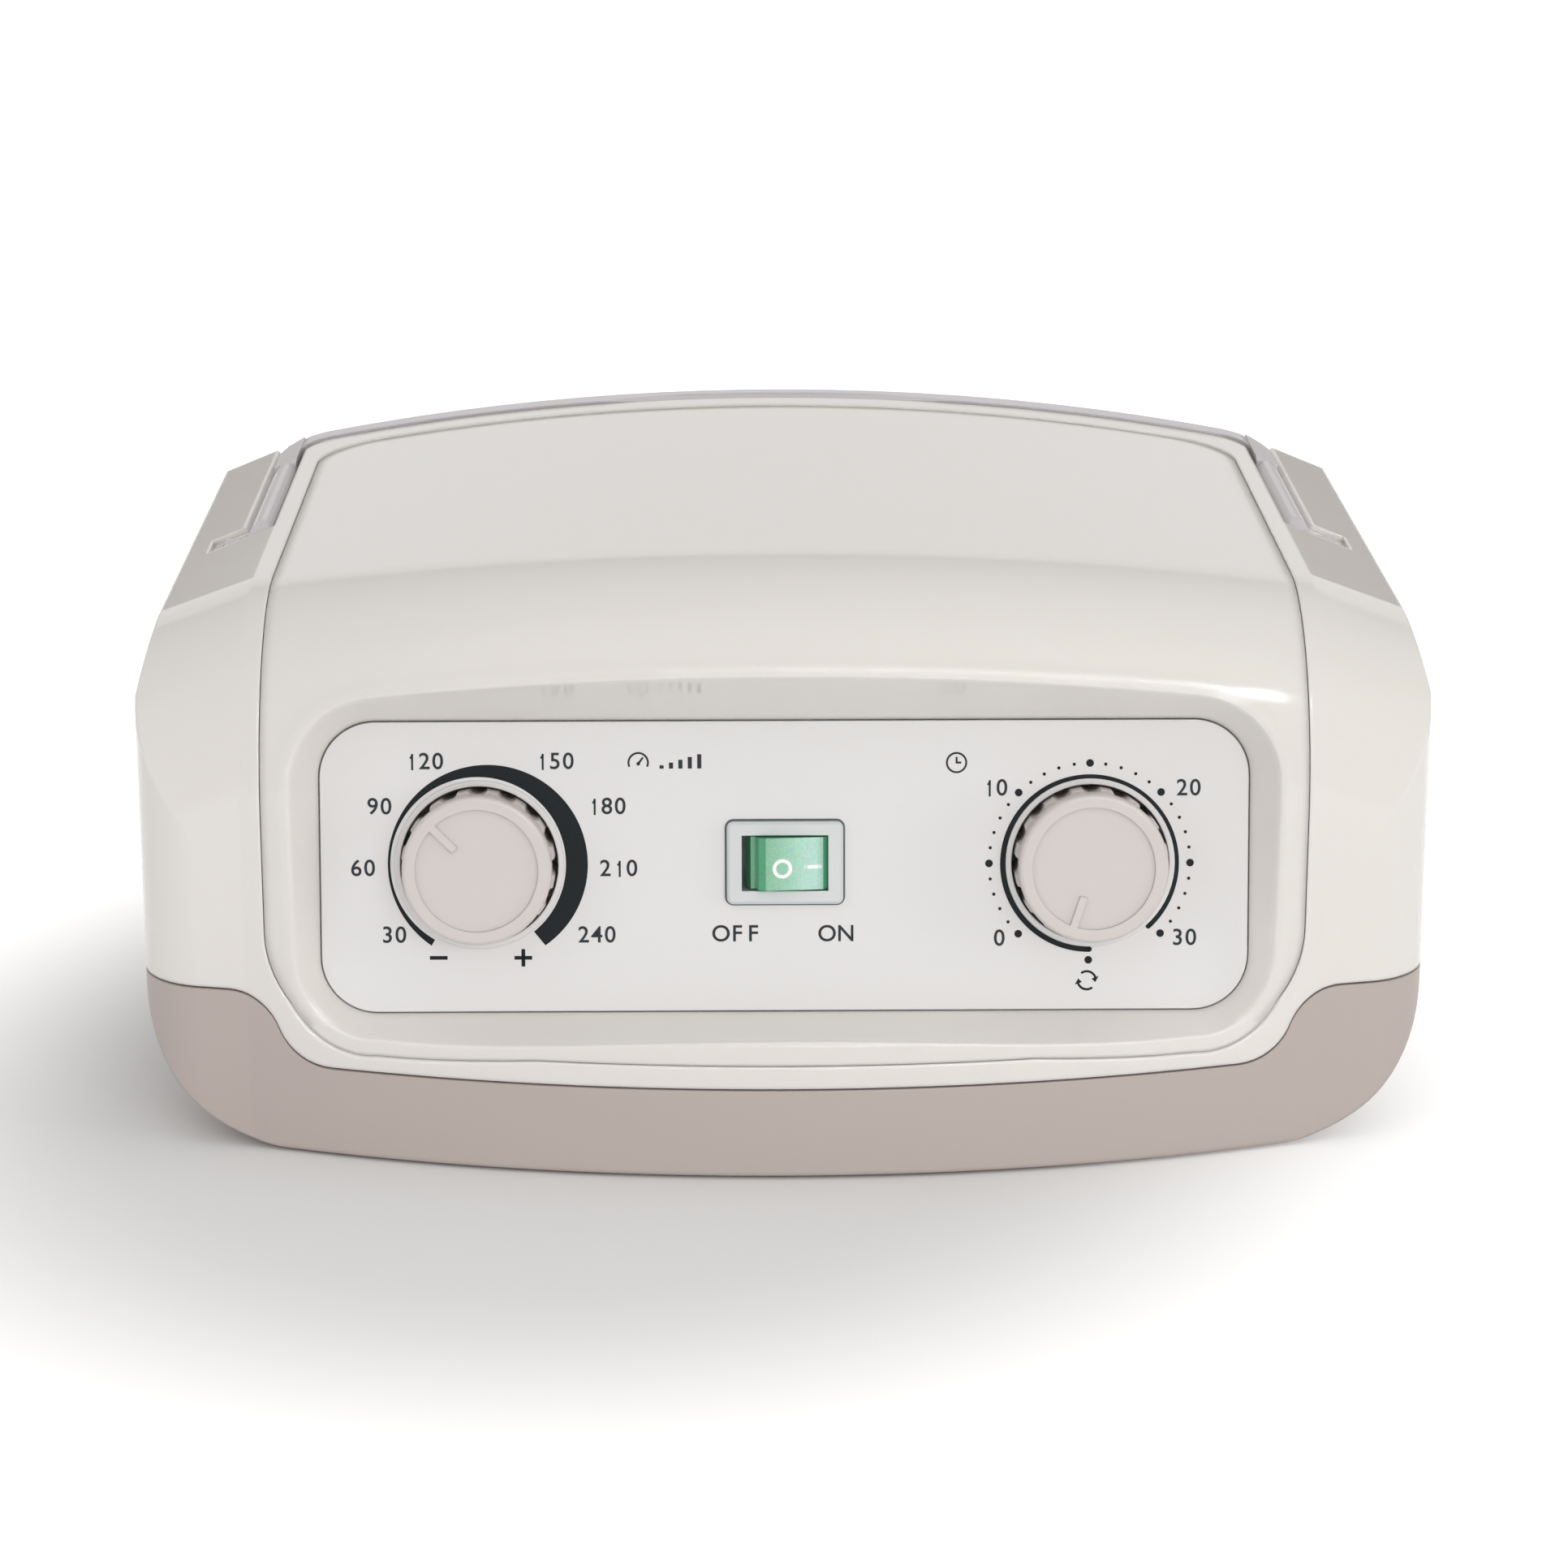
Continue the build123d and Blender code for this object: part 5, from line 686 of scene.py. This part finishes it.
zinc = metal("zinc_plated_steel", "B9BBBD", roughness=0.32, grain_mm=0.8)
dress(zinc, "regulator_stem", "timer_shaft", "timer_movement", "dial_nuts", "inlet_screws", "case_screws",
      "compressor_armature", "motor_shaft", "distributor_motor", "board_screws")
brass = metal("tinned_brass", "CFC7AE", roughness=0.28, grain_mm=0.5)
dress(brass, "switch_terminals", "inlet_pins")
cast = metal("die_cast_aluminium", "B8B9BB", roughness=0.45, grain_mm=1.2)
dress(cast, "compressor_frame", "pressure_regulator")
copper = metal("enamelled_copper", "B06C3C", roughness=0.35, grain_mm=0.4)
dress(copper, "compressor_coils")

# ---------------------------------------------------------------- sockets, fuse holder, heads and air parts
# Nylon mouldings: glass-filled, black and a little grainy on the mains inlet, the fuse's holder and
# cap, the compressor's heads and the board's cased parts, and in nylon's own milky colour on the hose
# sockets, the distributor, the manifold and the terminal block.
black_nylon = moulded("black_nylon", "1B1B1C", roughness=0.42, mottle_mm=12, mottle=0.06,
                      grain_mm=0.4, grain_depth_mm=0.01)
dress(black_nylon, "mains_inlet", "fuse_holder", "fuse_cap", "left_head", "right_head",
      "board_capacitors", "board_relay")
milky_nylon = moulded("natural_nylon", "D8D6CE", roughness=0.3, mottle_mm=15, mottle=0.02,
                      grain_mm=0.4, grain_depth_mm=0.003)
dress(milky_nylon, "inner_hose_socket", "outer_hose_socket", "distributor_body", "distributor_rotor",
      "air_manifold", "terminal_block")

# ---------------------------------------------------------------- feet, mounts, diaphragms and tubes
# The feet, the compressor's mounts and its diaphragms are pressed in rubber, matte and dark. The air
# tubes are extruded silicone, pale and satin.
grey_rubber = moulded("rubber_grey", "3C3C3E", roughness=0.7, mottle_mm=8, mottle=0.05,
                      grain_mm=0.5, grain_depth_mm=0.01)
dress(grey_rubber, "rubber_feet")
black_rubber = moulded("rubber_black", "161616", roughness=0.65, mottle_mm=8, mottle=0.06,
                       grain_mm=0.5, grain_depth_mm=0.01)
dress(black_rubber, "compressor_mounts", "compressor_diaphragms")
silicone = moulded("silicone_tube", "DEDDD8", roughness=0.35, mottle_mm=10, mottle=0.02,
                   grain_mm=0.5, grain_depth_mm=0.002)
dress(silicone, "outlet_tubes", "supply_tube", "regulator_tube")

# ---------------------------------------------------------------- cores, board and fuse
# The compressor's cores are stacked iron laminations under dark lacquer, the board is glass fibre
# under green solder mask, and the fuse is a clear glass tube, drawn as pale closed glass.
laminations = moulded("lacquered_laminations", "2B2D30", roughness=0.5, mottle_mm=6, mottle=0.08,
                      grain_mm=0.5, grain_depth_mm=0.02)
dress(laminations, "compressor_cores")
solder_mask = moulded("solder_mask_green", "1F5A35", roughness=0.35, mottle_mm=6, mottle=0.06,
                      grain_mm=0.5, grain_depth_mm=0.005)
dress(solder_mask, "circuit_board")
glass = moulded("fuse_glass", "D5DEDE", roughness=0.08, mottle_mm=10, mottle=0.01,
                grain_mm=0.5, grain_depth_mm=0.0)
dress(glass, "fuse")
